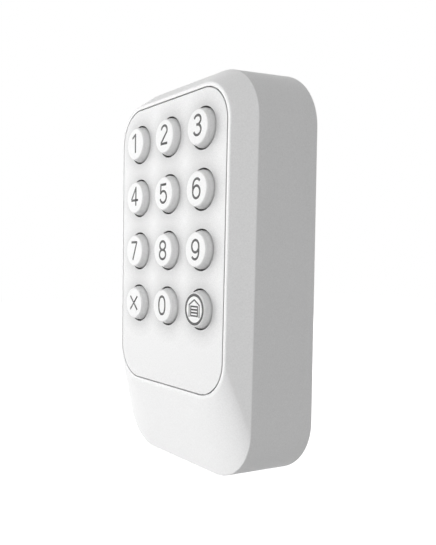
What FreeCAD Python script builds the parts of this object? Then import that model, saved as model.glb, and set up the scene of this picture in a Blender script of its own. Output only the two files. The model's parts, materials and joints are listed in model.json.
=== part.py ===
"""Wireless garage keypad on its wall plate, as a parametric document.

Millimetres, +Z up, the front faces -Y. The wall is the plane Y = 0 and the origin is the middle of the
four wall screw holes. The key panel leans back a little: what belongs to it is modelled in a face frame,
whose origin is the middle of the key grid on the panel's front, with Y pointing into the casing.
"""
import FreeCAD, Part
import math
import os

import Sketcher
from FreeCAD import Placement, Rotation, Vector

SIZES = {
    # Key panel and its place
    "board_room": 2.0,
    "face_tilt": 1.2,
    "grid_rise": 17.7,
    "panel_side": 11.35,
    "panel_head": 11.5,
    "panel_foot": 26.05,
    "panel_corner": 11.1,
    "panel_thick": 1.8,
    "panel_gap": 0.35,
    # Keys
    "key_pitch": 18.0,
    "key_radius": 5.6,
    "key_height": 2.15,
    "key_edge": 0.5,
    "key_gap": 0.75,
    "hole_edge": 0.4,
    "key_travel": 1.0,
    "flange_lap": 0.75,
    "flange_thick": 0.9,
    "flange_play": 0.1,
    "flange_room": 1.4,
    # Casing
    "lip_width": 1.1,
    "side_chamfer": 4.4,
    "top_chamfer": 4.85,
    "chin_length": 25.1,
    "shoulder_depth": 6.9,
    "shoulder_corner": 16.9,
    "side_taper": 0.08,
    "wall_gap": 0.4,
    "case_wall": 2.2,
    "front_wall": 3.6,
    "front_inset": 0.3,
    "shoulder_wall": 1.9,
    "ledge_width": 2.2,
    "rib_width": 2.0,
    "rib_thick": 1.6,
    "case_boss_radius": 3.0,
    "case_boss_side": 9.2,
    "case_boss_end": 7.55,
    # Board, mat and what is on them
    "board_thick": 1.6,
    "board_side": 8.6,
    "board_head": 6.2,
    "board_foot": 23.0,
    "board_corner": 7.0,
    "mat_thick": 0.8,
    "mat_side": 8.2,
    "mat_head": 6.0,
    "mat_foot": 7.6,
    "mat_corner": 6.5,
    "dome_radius": 3.6,
    "dome_foot": 5.4,
    "dome_wall": 0.5,
    "dome_play": 0.05,
    "nub_radius": 1.2,
    "snap_radius": 3.2,
    "snap_crown": 2.0,
    "snap_height": 0.4,
    "snap_thick": 0.12,
    "snap_play": 0.1,
    "lamp_half": 0.8,
    "lamp_thick": 0.6,
    "lamp_window": 0.4,
    "post_radius": 2.2,
    "post_side": 7.85,
    "post_foot": 9.55,
    "post_clearance": 0.4,
    "chip_half": 4.5,
    "chip_thick": 1.2,
    "chip_drop": 7.7,
    "radio_half_width": 6.5,
    "radio_half_height": 5.5,
    "radio_thick": 2.4,
    "radio_x": 18.5,
    "radio_drop": 9.2,
    "crystal_half_width": 1.9,
    "crystal_half_height": 4.6,
    "crystal_thick": 3.2,
    "crystal_x": 14.0,
    "crystal_drop": 7.7,
    "store_radius": 3.1,
    "store_height": 7.0,
    "store_gap": 0.9,
    "store_rise": 8.5,
    "aerial_half_span": 12.0,
    "aerial_drop": 1.6,
    "aerial_height": 3.4,
    "aerial_strip": 0.5,
    "aerial_leg": 0.8,
    "aerial_feed": 5.0,
    "sounder_radius": 5.5,
    "sounder_thick": 3.2,
    "sounder_lift": 7.0,
    "sounder_port": 1.0,
    # Rear housing and seal
    "seal_face": 8.4,
    "housing_thick": 2.2,
    "housing_gap": 0.3,
    "seal_thick": 1.4,
    "seal_width": 1.8,
    "bay_corner": 0.8,
    "bay_ledge": 1.5,
    "bay_rim": 1.3,
    "bay_floor": 1.6,
    "door_face": 0.8,
    "door_thick": 1.6,
    "door_gap": 0.3,
    "door_seal_thick": 0.8,
    "door_seal_width": 0.9,
    "grip_half_width": 7.0,
    "grip_height": 4.0,
    "grip_depth": 0.8,
    "grip_drop": 4.0,
    # Cells and contacts
    "cell_radius": 7.25,
    "cell_length": 50.5,
    "cell_button_radius": 2.75,
    "cell_button": 1.2,
    "cell_gap": 0.7,
    "cell_play": 0.2,
    "cell_side_gap": 0.55,
    "contact_room": 3.25,
    "contact_thick": 0.4,
    "contact_half_width": 5.0,
    "contact_half_depth": 4.5,
    "contact_play": 0.1,
    "leg_half_width": 1.2,
    "leg_clearance": 0.3,
    # Wall plate
    "plate_thick": 2.0,
    "plate_side_gap": 2.8,
    "plate_head_gap": 1.0,
    "plate_corner": 13.0,
    "window_side_gap": 1.3,
    "window_low_gap": 1.2,
    "window_corner": 3.0,
    "lift": 6.0,
    "lift_clearance": 1.2,
    "wall_hole_x": 22.0,
    "wall_hole_rise": 46.0,
    "wall_hole_radius": 2.25,
    "hook_side_gap": 3.4,
    "hook_rise": 20.0,
    "hook_half_width": 3.0,
    "hook_stem": 2.0,
    "hook_reach": 3.5,
    "hook_thick": 1.5,
    "hook_room": 0.7,
    "catch_bar": 2.2,
    "catch_gap": 0.3,
    "catch_rest": 0.1,
    "catch_cheek": 1.4,
    "lug_half_width": 4.0,
    "lug_height": 3.8,
    "lug_tall": 3.8,
    # Screws
    "screw_clearance": 0.05,
    "case_screw_radius": 1.45,
    "case_screw_length": 10.0,
    "case_screw_head": 2.7,
    "case_screw_head_thick": 1.7,
    "case_hole_radius": 1.7,
    "board_screw_radius": 0.95,
    "board_screw_length": 4.4,
    "board_screw_head": 1.9,
    "board_screw_head_thick": 1.2,
    "board_hole_radius": 1.2,
    "lock_screw_radius": 1.0,
    "lock_screw_length": 10.0,
    "lock_screw_head": 1.9,
    "lock_screw_head_thick": 1.5,
    "lock_screw_y": 4.1,
    "lock_access_radius": 2.5,
    "lock_boss_half": 2.4,
    "lock_boss_tall": 8.0,
    "drive_radius": 0.9,
    "drive_depth": 0.8,
}

KEY_NAMES = (
    ("key_1", "key_2", "key_3"),
    ("key_4", "key_5", "key_6"),
    ("key_7", "key_8", "key_9"),
    ("key_cancel", "key_0", "key_garage"),
)
COLUMNS = (-1.0, 0.0, 1.0)
ROWS = (1.5, 0.5, -0.5, -1.5)
EXTRA = 5.0  # how far a cutting tool runs past what it cuts

doc = FreeCAD.newDocument("GarageKeypad")
sheet = doc.addObject("Spreadsheet::Sheet", "Sizes")
for line, (alias, size) in enumerate(SIZES.items(), start=1):
    sheet.set(f"A{line}", alias)
    sheet.set(f"B{line}", str(size))
    sheet.setAlias(f"B{line}", alias)
doc.recompute()
subparts = []


def size_of(alias):
    """Name of one size, as an expression."""
    return f"Sizes.{alias}"


def total(*terms):
    """Sum of sizes and expressions, each a plain alias, a number or an expression; '-alias' takes one away."""
    written = []
    for term in terms:
        text = str(term)
        minus = text.startswith("-") and text[1:] in SIZES
        name = text[1:] if minus else text
        written.append(("-" if minus else "") + (size_of(name) if name in SIZES else f"({text})"))
    return "(" + " + ".join(written) + ")"


def number(expression):
    """Value of an expression, for the first shape of a sketch."""
    return float(sheet.evalExpression(expression))


def bind(item, bindings):
    """Tie properties of an object to expressions."""
    for path, expression in bindings.items():
        item.setExpression(path, expression)


# Outlines that several pieces share, as expressions: half width, top, bottom and corner radius
def around_keys(side, head, foot, corner):
    """Outline at some distances from the middles of the outer keys."""
    rows = "1.5 * Sizes.key_pitch"
    return (total("key_pitch", side), total(rows, head), total(rows, foot), total(corner))


PANEL = around_keys("panel_side", "panel_head", "panel_foot", "panel_corner")
MAT = around_keys("mat_side", "mat_head", "mat_foot", "mat_corner")
BOARD = around_keys("board_side", "board_head", "board_foot", "board_corner")


def grown(outline, *terms):
    """An outline moved outwards by the sum of some sizes."""
    return tuple(total(side, *terms) for side in outline)


# Depths behind the panel's front: keys, mat and board
KEY_HOLE = total("key_radius", "key_gap")
FLANGE = total(KEY_HOLE, "flange_lap")
FLANGE_FRONT = total("panel_thick", "flange_play")
FLANGE_REAR = total(FLANGE_FRONT, "flange_thick")
DOME_TOP = total(FLANGE_REAR, "dome_play")
MAT_FRONT = total(FLANGE_REAR, "key_travel", "flange_room")
BOARD_FRONT = total(MAT_FRONT, "mat_thick")
BOARD_REAR = total(BOARD_FRONT, "board_thick")

# Battery bay, from its cells outwards, and the depth of the whole unit over it
CELL_X = total("cell_radius", "Sizes.cell_gap / 2")
CELL_END = "(Sizes.cell_length / 2)"
BAY_WIDE = total(CELL_X, "cell_radius", "cell_side_gap")
BAY_TALL = total(CELL_END, "contact_play", "contact_room")
BAY = (BAY_WIDE, BAY_TALL, BAY_TALL, total("bay_corner"))
DOOR_SEAT = grown(BAY, "bay_ledge")
HUMP = grown(DOOR_SEAT, "bay_rim")
DOOR = grown(DOOR_SEAT, "-door_gap")
DOOR_BACK = total("door_face", "door_thick")
CELL_Y = total(DOOR_BACK, "cell_radius", "cell_play")
BAY_DEEP = total(DOOR_BACK, "2 * Sizes.cell_radius", "2 * Sizes.cell_play")
HUMP_FRONT = total(BAY_DEEP, "bay_floor")
FACE_DEPTH = total(HUMP_FRONT, "board_room", "board_screw_head_thick", BOARD_REAR)

# Casing outlines
LIP = grown(PANEL, "panel_gap", "lip_width")
SHOULDER = (
    total(LIP[0], "side_chamfer"),
    total(LIP[1], "top_chamfer"),
    total(LIP[2], "chin_length"),
    total("shoulder_corner"),
)
TILT_SIN = "sin(Sizes.face_tilt)"
TILT_COS = "cos(Sizes.face_tilt)"
SIDE_RUN = total(FACE_DEPTH, "-shoulder_depth", "-wall_gap")
BACK = (
    total(SHOULDER[0], f"Sizes.side_taper * {SIDE_RUN}"),
    total("grid_rise", f"{SHOULDER[1]} * {TILT_COS} - Sizes.shoulder_depth * {TILT_SIN}",
          f"Sizes.side_taper * ({SIDE_RUN} - {SHOULDER[1]} * {TILT_SIN})"),
    total("-grid_rise", f"{SHOULDER[2]} * {TILT_COS} + Sizes.shoulder_depth * {TILT_SIN}",
          f"Sizes.side_taper * ({SIDE_RUN} + {SHOULDER[2]} * {TILT_SIN})"),
    total("shoulder_corner", f"Sizes.side_taper * {SIDE_RUN}"),
)
SEAL_FRONT = total("seal_face", "seal_thick")
HOUSING = grown(BACK, "-case_wall", "-housing_gap", f"-Sizes.side_taper * {SEAL_FRONT}")
HOUSING_REAR = total("seal_face", "-housing_thick")

# Wall plate outlines, and depths of its tongues and their catches
WINDOW = (
    total(HUMP[0], "window_side_gap"),
    total(HUMP[1], "lift", "lift_clearance"),
    total(HUMP[1], "window_low_gap"),
    total("window_corner"),
)
HOOK_FRONT = total(HOUSING_REAR, "-hook_room")
HOOK_REAR = total(HOOK_FRONT, "-hook_thick")
CATCH_REAR = total("plate_thick", "catch_gap")
CATCH_FRONT = total(HOOK_REAR, "-catch_gap")
HOOK_X = total(HUMP[0], "hook_side_gap", "catch_cheek", "catch_gap", "hook_half_width")
PLATE = (
    total(BACK[0], "-case_wall", "-plate_side_gap"),
    total(BACK[1], "-case_wall", "-plate_head_gap"),
    total(BACK[2], "-case_wall", "-lock_screw_head_thick", "-lift", "-lift_clearance"),
    total("plate_corner"),
)
CORNERS = tuple((x, z) for z in (1, -1) for x in (-1, 1))
BOSS_X = total(HOUSING[0], "-case_boss_side")
BOSS_Z = {1: total(HOUSING[1], "-case_boss_end"), -1: f"-{total(HOUSING[2], '-case_boss_end')}"}
POST_LOW = (total(PANEL[0], "-post_side"), f"-{total(PANEL[2], '-post_foot')}")


def sketch_with(name, outline):
    """Free sketch of a rounded outline, in the plane of X and Z."""
    sketch = doc.addObject("Sketcher::SketchObject", name)
    sketch.Placement = Placement(Vector(), Rotation(Vector(1, 0, 0), 90))
    draw_outline(sketch, outline)
    return sketch


def draw_outline(sketch, outline):
    """Four lines and four tangent arcs round the origin, tied to the outline's expressions."""
    half, top, bottom, corner = outline
    w, t, b, r = (number(side) for side in outline)
    lines = [
        (Vector(-w + r, t), Vector(w - r, t)),
        (Vector(w, t - r), Vector(w, -b + r)),
        (Vector(w - r, -b), Vector(-w + r, -b)),
        (Vector(-w, -b + r), Vector(-w, t - r)),
    ]
    centres = [Vector(w - r, t - r), Vector(w - r, -b + r), Vector(-w + r, -b + r), Vector(-w + r, t - r)]
    sides = [sketch.addGeometry(Part.LineSegment(a, z)) for a, z in lines]
    quarter = math.pi / 2
    arcs = []
    for turn, centre in enumerate(centres):
        start = -quarter * turn
        circle = Part.Circle(centre, Vector(0, 0, 1), r)
        arcs.append(sketch.addGeometry(Part.ArcOfCircle(circle, start, start + quarter)))
    for turn, arc in enumerate(arcs):
        sketch.addConstraint(Sketcher.Constraint("Tangent", sides[turn], 2, arc, 2))
        sketch.addConstraint(Sketcher.Constraint("Tangent", arc, 1, sides[(turn + 1) % 4], 1))
    for side in (sides[0], sides[2]):
        sketch.addConstraint(Sketcher.Constraint("Horizontal", side))
    for side in (sides[1], sides[3]):
        sketch.addConstraint(Sketcher.Constraint("Vertical", side))
    for arc in arcs[1:]:
        sketch.addConstraint(Sketcher.Constraint("Equal", arcs[0], arc))
    measured = [
        ("corner", corner, Sketcher.Constraint("Radius", arcs[0], r)),
        ("right", half, Sketcher.Constraint("DistanceX", -1, 1, sides[1], 1, w)),
        ("left", half, Sketcher.Constraint("DistanceX", sides[3], 1, -1, 1, w)),
        ("top", top, Sketcher.Constraint("DistanceY", -1, 1, sides[0], 1, t)),
        ("bottom", bottom, Sketcher.Constraint("DistanceY", sides[2], 1, -1, 1, b)),
    ]
    for name, expression, constraint in measured:
        sketch.renameConstraint(sketch.addConstraint(constraint), name)
        sketch.setExpression(f"Constraints.{name}", expression)


def prism(name, outline, rear, length):
    """Rounded outline pushed towards the front from the plane Y = -rear."""
    sketch = sketch_with(f"{name}_outline", outline)
    bind(sketch, {"Placement.Base.y": f"-{rear}"})
    solid = doc.addObject("Part::Extrusion", name)
    solid.Base = sketch
    solid.DirMode = "Normal"
    solid.Solid = True
    bind(solid, {"LengthFwd": length})
    return solid


def box(name, low, size):
    """Box from its lowest corner and its size, three expressions each."""
    solid = doc.addObject("Part::Box", name)
    bind(solid, {
        "Length": size[0], "Width": size[1], "Height": size[2],
        "Placement.Base.x": low[0], "Placement.Base.y": low[1], "Placement.Base.z": low[2],
    })
    return solid


def centred_box(name, half_x, rear, front, low_z, high_z, x="0"):
    """Box about X = x from Y = -front to Y = -rear and from low_z to high_z."""
    low = (total(x, f"-{half_x}"), f"-{front}", low_z)
    return box(name, low, (f"2 * {half_x}", total(front, f"-{rear}"), total(high_z, f"-{low_z}")))


TURNS = {"+Y": -90, "-Y": 90, "+Z": 0}


def rod(name, radius, length, start, way="+Y"):
    """Cylinder from its start point, along one way."""
    solid = doc.addObject("Part::Cylinder", name)
    if TURNS[way]:
        solid.Placement = Placement(Vector(), Rotation(Vector(1, 0, 0), TURNS[way]))
    bind(solid, {
        "Radius": radius, "Height": length,
        "Placement.Base.x": start[0], "Placement.Base.y": start[1], "Placement.Base.z": start[2],
    })
    return solid


def join(name, pieces):
    """Union of several solids."""
    solid = doc.addObject("Part::MultiFuse", name)
    solid.Shapes = pieces
    solid.Refine = True
    return solid


def take(name, base, tools):
    """A solid less several tools."""
    solid = doc.addObject("Part::Cut", name)
    solid.Base = base
    solid.Tool = tools[0] if len(tools) == 1 else join(f"{name}_tools", tools)
    return solid


def shared(name, pieces):
    """What several solids have in common."""
    solid = doc.addObject("Part::MultiCommon", name)
    solid.Shapes = pieces
    return solid


def group(name, pieces):
    """Like pieces kept as separate solids under one name."""
    solid = doc.addObject("Part::Compound", name)
    solid.Links = pieces
    return solid


def lay_on_face(item, x="0", z="0"):
    """Give an object made in the face frame its place at x and z on the panel."""
    item.Placement = Placement(Vector(), Rotation(Vector(1, 0, 0), -SIZES["face_tilt"]))
    bind(item, {
        "Placement.Rotation.Angle": "-Sizes.face_tilt",
        "Placement.Base.x": x,
        "Placement.Base.y": f"-{FACE_DEPTH} + ({z}) * {TILT_SIN}",
        "Placement.Base.z": f"Sizes.grid_rise + ({z}) * {TILT_COS}",
    })
    return item


def publish(item, label):
    """Keep an object as a sub-part under its own name."""
    item.Label = label
    subparts.append(item)
    return item


def new_body(name):
    """Empty body, with its XY and XZ planes by role."""
    body = doc.addObject("PartDesign::Body", name)
    planes = {plane.Role: plane for plane in body.Origin.OriginFeatures}
    return body, planes["XY_Plane"], planes["XZ_Plane"]


def body_sketch(body, plane, name):
    """Sketch on one of a body's own planes."""
    sketch = body.newObject("Sketcher::SketchObject", name)
    sketch.AttachmentSupport = [(plane, "")]
    sketch.MapMode = "FlatFace"
    return sketch


def draw_profile(sketch, corners):
    """Closed polygon whose corners are tied to pairs of expressions."""
    points = [Vector(number(x), number(y)) for x, y in corners]
    count = len(points)
    for i in range(count):
        sketch.addGeometry(Part.LineSegment(points[i], points[(i + 1) % count]))
    for i in range(count):
        sketch.addConstraint(Sketcher.Constraint("Coincident", i, 2, (i + 1) % count, 1))
    for i, (x, y) in enumerate(corners):
        for way, expression, value in (("X", x, points[i].x), ("Y", y, points[i].y)):
            made = sketch.addConstraint(Sketcher.Constraint(f"Distance{way}", -1, 1, i, 1, value))
            sketch.renameConstraint(made, f"{way.lower()}_{i}")
            sketch.setExpression(f"Constraints.{way.lower()}_{i}", expression)


def draw_circles(sketch, circles):
    """Circles from expressions for their middle and radius."""
    for i, (x, z, radius) in enumerate(circles):
        circle = Part.Circle(Vector(number(x), number(z)), Vector(0, 0, 1), number(radius))
        drawn = sketch.addGeometry(circle)
        constraints = (
            ("x", x, Sketcher.Constraint("DistanceX", -1, 1, drawn, 3, number(x))),
            ("z", z, Sketcher.Constraint("DistanceY", -1, 1, drawn, 3, number(z))),
            ("radius", radius, Sketcher.Constraint("Radius", drawn, number(radius))),
        )
        for word, expression, constraint in constraints:
            made = sketch.addConstraint(constraint)
            sketch.renameConstraint(made, f"{word}_{i}")
            sketch.setExpression(f"Constraints.{word}_{i}", expression)


def pad(body, sketch, name, length, inwards=True):
    """Pad a sketch of the XZ plane into the casing, or out of it."""
    feature = body.newObject("PartDesign::Pad", name)
    feature.Profile = sketch
    feature.Reversed = inwards
    bind(feature, {"Length": length})
    doc.recompute()
    return feature


def pocket(body, sketch, name, length):
    """Cut a sketch of the XZ plane into the casing, and make sure that it cut something."""
    before = body.Shape.Volume
    feature = body.newObject("PartDesign::Pocket", name)
    feature.Profile = sketch
    bind(feature, {"Length": length})
    doc.recompute()
    if not body.Shape.Volume < before:
        raise ValueError(f"{name} cuts nothing")
    return feature


def circle_edges(shape, y, radii):
    """Names of the full circles of some radii that lie in the plane Y = y."""
    found = []
    for i, edge in enumerate(shape.Edges, start=1):
        round_edge = isinstance(edge.Curve, Part.Circle) and edge.isClosed()
        if round_edge and abs(edge.CenterOfMass.y - y) < 0.01:
            if any(abs(edge.Curve.Radius - radius) < 0.01 for radius in radii):
                found.append(f"Edge{i}")
    return found


def round_edges(body, base, edges, name, radius):
    """Fillet some edges of a body's last feature."""
    feature = body.newObject("PartDesign::Fillet", name)
    feature.Base = (base, edges)
    bind(feature, {"Radius": radius})
    doc.recompute()
    return feature


def times(factor, alias):
    """A size times a plain number."""
    return f"{factor} * Sizes.{alias}"


# Keys: round caps with a soft front edge, a holding flange under the panel and a blunt stem
def make_key(name, column, row):
    body, plane, _ = new_body(f"{name}_body")
    sketch = body_sketch(body, plane, f"{name}_profile")
    cap = total("key_radius")
    draw_profile(sketch, (
        ("0", "-Sizes.key_height"),
        (cap, "-Sizes.key_height"),
        (cap, FLANGE_FRONT),
        (FLANGE, FLANGE_FRONT),
        (FLANGE, FLANGE_REAR),
        ("0", FLANGE_REAR),
    ))
    turned = body.newObject("PartDesign::Revolution", f"{name}_turned")
    turned.Profile = sketch
    turned.ReferenceAxis = (sketch, ["V_Axis"])
    turned.Angle = 360
    doc.recompute()
    rim = circle_edges(turned.Shape, -SIZES["key_height"], [SIZES["key_radius"]])
    round_edges(body, turned, rim, f"{name}_edge", total("key_edge"))
    lay_on_face(body, times(column, "key_pitch"), times(row, "key_pitch"))
    publish(body, name)


for row_names, row in zip(KEY_NAMES, ROWS):
    for key_name, column in zip(row_names, COLUMNS):
        make_key(key_name, column, row)


# Key panel: flat plate with twelve soft-edged holes and six posts for the board
panel, _, panel_plane = new_body("panel_body")
panel_sketch = body_sketch(panel, panel_plane, "panel_outline")
draw_outline(panel_sketch, PANEL)
pad(panel, panel_sketch, "panel_plate", total("panel_thick"))
hole_sketch = body_sketch(panel, panel_plane, "panel_holes_sketch")
draw_circles(hole_sketch, [
    (times(column, "key_pitch"), times(row, "key_pitch"), KEY_HOLE) for row in ROWS for column in COLUMNS
])
holes = pocket(panel, hole_sketch, "panel_holes", total("panel_thick"))
mouths = circle_edges(holes.Shape, 0.0, [number(KEY_HOLE)])
round_edges(panel, holes, mouths, "panel_mouths", total("hole_edge"))


def post_places(radius):
    """Circles of one radius at the six posts."""
    places = [(times(0.5 * x, "key_pitch"), times(z, "key_pitch"), radius) for x, z in CORNERS]
    places += [(f"{side} * {POST_LOW[0]}", POST_LOW[1], radius) for side in (-1, 1)]
    return places


def offset_sketch(body, name, depth, circles):
    """Circles on a plane at some depth behind the face."""
    sketch = body_sketch(body, panel_plane, name)
    bind(sketch, {"AttachmentOffset.Base.z": f"-{depth}"})
    draw_circles(sketch, circles)
    return sketch


post_sketch = offset_sketch(panel, "panel_posts_sketch", total("panel_thick"),
                            post_places(total("post_radius")))
pad(panel, post_sketch, "panel_posts", total(BOARD_FRONT, "-panel_thick"))
PILOT_DEEP = total("board_screw_length", "-board_thick", "post_clearance")
pilot_radius = total("board_screw_radius", "screw_clearance")
pilot_sketch = offset_sketch(panel, "panel_pilots_sketch", BOARD_FRONT, post_places(pilot_radius))
pilots = panel.newObject("PartDesign::Pocket", "panel_pilots")
pilots.Profile = pilot_sketch
pilots.Reversed = True
bind(pilots, {"Length": PILOT_DEEP})
lay_on_face(panel)
publish(panel, "key_panel")


def face_box(name, x, z, half_x, half_z, near, far):
    """Box in the face frame, round a point of the face and between two depths."""
    low = (total(x, f"-{half_x}"), near, total(z, f"-{half_z}"))
    return box(name, low, (f"2 * {half_x}", total(far, f"-{near}"), f"2 * {half_z}"))


def cone(name, wide, narrow, length, start):
    """Cone along Y from its wide end towards the front."""
    solid = doc.addObject("Part::Cone", name)
    solid.Placement = Placement(Vector(), Rotation(Vector(1, 0, 0), TURNS["-Y"]))
    bind(solid, {
        "Radius1": wide, "Radius2": narrow, "Height": length,
        "Placement.Base.x": start[0], "Placement.Base.y": start[1], "Placement.Base.z": start[2],
    })
    return solid


# Key mat: silicone sheet with a hollow dome and a centre nub under each key
KEY_PLACES = tuple((times(c, "key_pitch"), times(r, "key_pitch")) for r in ROWS for c in COLUMNS)
LAMP_PLACES = tuple(
    (times(x, "key_pitch"), times(z, "key_pitch"))
    for x, z in ((-1, 1), (0, 1), (1, 1), (-0.5, 0), (0.5, 0), (-1, -1), (0, -1), (1, -1))
)
SNAP_FRONT = total(BOARD_FRONT, "-snap_height")
mat_parts = [prism("mat_sheet", MAT, f"-{BOARD_FRONT}", total("mat_thick"))]
mat_hollows = []
mat_nubs = []
for i, (x, z) in enumerate(KEY_PLACES):
    dome = cone(f"mat_dome_{i}", total("dome_foot"), total("dome_radius"), total(MAT_FRONT, f"-{DOME_TOP}"),
                (x, MAT_FRONT, z))
    mat_parts.append(dome)
    hollow_top = total(DOME_TOP, "2 * Sizes.dome_wall")
    mat_hollows.append(cone(
        f"mat_hollow_{i}", total("dome_foot", "-dome_wall"), total("dome_radius", "-dome_wall"),
        total(BOARD_FRONT, f"-{hollow_top}"), (x, BOARD_FRONT, z)))
    mat_nubs.append(rod(f"mat_nub_{i}", total("nub_radius"),
                        total(SNAP_FRONT, "-snap_play", f"-{DOME_TOP}", "-dome_wall"),
                        (x, total(DOME_TOP, "dome_wall"), z)))
for i, (x, z) in enumerate(LAMP_PLACES):
    half = total("lamp_half", "lamp_window")
    mat_hollows.append(face_box(f"mat_lamp_{i}", x, z, half, half, MAT_FRONT, BOARD_FRONT))
for i, (x, z, radius) in enumerate(post_places(total("post_radius", "post_clearance"))[:4]):
    mat_hollows.append(rod(f"mat_post_{i}", radius, total("mat_thick"), (x, MAT_FRONT, z)))
mat = join("mat", [take("mat_shell", join("mat_solid", mat_parts), mat_hollows)] + mat_nubs)
publish(lay_on_face(mat), "key_mat")

# Snap domes: shallow metal contacts on the board, one under each nub
snap_shells = []
for i, (x, z) in enumerate(KEY_PLACES):
    start = (x, BOARD_FRONT, z)
    crown = cone(f"snap_{i}", total("snap_radius"), total("snap_crown"), total("snap_height"), start)
    inside = cone(f"snap_inside_{i}", total("snap_radius", "-snap_thick"), total("snap_crown", "-snap_thick"),
                  total("snap_height", "-snap_thick"), start)
    snap_shells.append(take(f"snap_shell_{i}", crown, [inside]))
publish(lay_on_face(group("snaps", snap_shells)), "snap_domes")

# Circuit board with holes for its screws and slots for the contact legs
LEG_RISE = total(BAY_TALL, "-grid_rise", "-Sizes.contact_thick / 2")
board_tools = []
for i, (x, z, radius) in enumerate(post_places(total("board_hole_radius"))):
    board_tools.append(rod(f"board_hole_{i}", radius, total("board_thick"), (x, BOARD_FRONT, z)))
for side in (-1, 1):
    board_tools.append(face_box(
        f"board_slot_{side + 1}", f"{side} * {CELL_X}", total(LEG_RISE, f"{BOARD_FRONT} * {TILT_SIN}"),
        total("leg_half_width", "leg_clearance"), total("contact_thick", "leg_clearance"),
        BOARD_FRONT, BOARD_REAR))
board = take("board", prism("board_plate", BOARD, f"-{BOARD_REAR}", total("board_thick")), board_tools)
publish(lay_on_face(board), "circuit_board")

# Board screws, driven from behind into the panel's posts
screws = []
for i, (x, z, radius) in enumerate(post_places(total("board_screw_radius"))):
    shank = rod(f"board_screw_shank_{i}", radius, total("board_screw_length"), (x, BOARD_REAR, z), "-Y")
    head = rod(f"board_screw_head_{i}", total("board_screw_head"), total("board_screw_head_thick"),
               (x, BOARD_REAR, z))
    drive = rod(f"board_screw_drive_{i}", total("drive_radius"), total("drive_depth"),
                (x, total(BOARD_REAR, "board_screw_head_thick", "-drive_depth"), z))
    screws.append(take(f"board_screw_{i}", join(f"board_screw_solid_{i}", [shank, head]), [drive]))
publish(lay_on_face(group("board_screw_set", screws)), "board_screws")

# Small parts on the board
LAMP_FRONT = total(BOARD_FRONT, "-lamp_thick")
lamps = [
    face_box(f"lamp_{i}", x, z, total("lamp_half"), total("lamp_half"), LAMP_FRONT, BOARD_FRONT)
    for i, (x, z) in enumerate(LAMP_PLACES)
]
publish(lay_on_face(group("lamps", lamps)), "backlight_lamps")
for label, x, drop, half_x, half_z, thick in (
    ("microcontroller", "0", "chip_drop", "chip_half", "chip_half", "chip_thick"),
    ("radio_module", "-radio_x", "radio_drop", "radio_half_width", "radio_half_height", "radio_thick"),
    ("timing_crystal", "crystal_x", "crystal_drop", "crystal_half_width", "crystal_half_height",
     "crystal_thick"),
):
    block = face_box(f"{label}_block", total(x), total(BOARD[1], f"-{drop}"), total(half_x), total(half_z),
                     BOARD_REAR, total(BOARD_REAR, thick))
    publish(lay_on_face(group(f"{label}_place", [block])), label)
stores = [
    rod(f"store_{side + 1}", total("store_radius"), total("store_height"),
        (f"{side} * {total(HUMP[0], 'store_gap', 'store_radius')}", BOARD_REAR, total("store_rise")))
    for side in (-1, 1)
]
publish(lay_on_face(group("stores", stores)), "storage_capacitors")
AERIAL_FAR = total(BOARD_REAR, "aerial_height")
aerial_z = total(BOARD[1], "-aerial_drop")
aerial_parts = [face_box("aerial_strip_bar", "0", aerial_z, total("aerial_half_span"), total("aerial_leg"),
                         total(AERIAL_FAR, "-aerial_strip"), AERIAL_FAR)]
for name, inset in (("end", "aerial_strip"), ("feed", "aerial_feed")):
    x = total("-aerial_half_span", inset)
    aerial_parts.append(face_box(f"aerial_{name}", x, aerial_z, total("aerial_strip"), total("aerial_leg"),
                                 BOARD_REAR, AERIAL_FAR))
publish(lay_on_face(join("aerial", aerial_parts)), "antenna")
SOUNDER_Z = f"-{total(BOARD[2], '-sounder_lift')}"
sounder_case = rod("sounder_case", total("sounder_radius"), total("sounder_thick"),
                   ("0", BOARD_FRONT, SOUNDER_Z), "-Y")
sounder_port = rod("sounder_hole", total("sounder_port"), total("sounder_port"),
                   ("0", total(BOARD_FRONT, "-sounder_thick"), SOUNDER_Z))
publish(lay_on_face(take("sounder_solid", sounder_case, [sounder_port])), "sounder")


# Front casing: lip, chamfer and chin lofted from the lip outline out to the shoulder, then drafted sides
def loft_section(name, outline, depth):
    """Outline parallel to the key panel, at some depth behind its front."""
    sketch = doc.addObject("Sketcher::SketchObject", name)
    sketch.Placement = Placement(Vector(), Rotation(Vector(1, 0, 0), 90 - SIZES["face_tilt"]))
    draw_outline(sketch, outline)
    bind(sketch, {
        "Placement.Rotation.Angle": "90 - Sizes.face_tilt",
        "Placement.Base.y": f"-{FACE_DEPTH} + {depth} * {TILT_COS}",
        "Placement.Base.z": f"Sizes.grid_rise - {depth} * {TILT_SIN}",
    })
    return sketch


def wall_section(name, outline, rear):
    """Outline parallel to the wall."""
    sketch = sketch_with(name, outline)
    bind(sketch, {"Placement.Base.y": f"-{rear}"})
    return sketch


def loft(name, sections):
    """Ruled solid through outlines, front first."""
    solid = doc.addObject("Part::Loft", name)
    solid.Sections = sections
    solid.Solid = True
    solid.Ruled = True
    return solid


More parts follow.
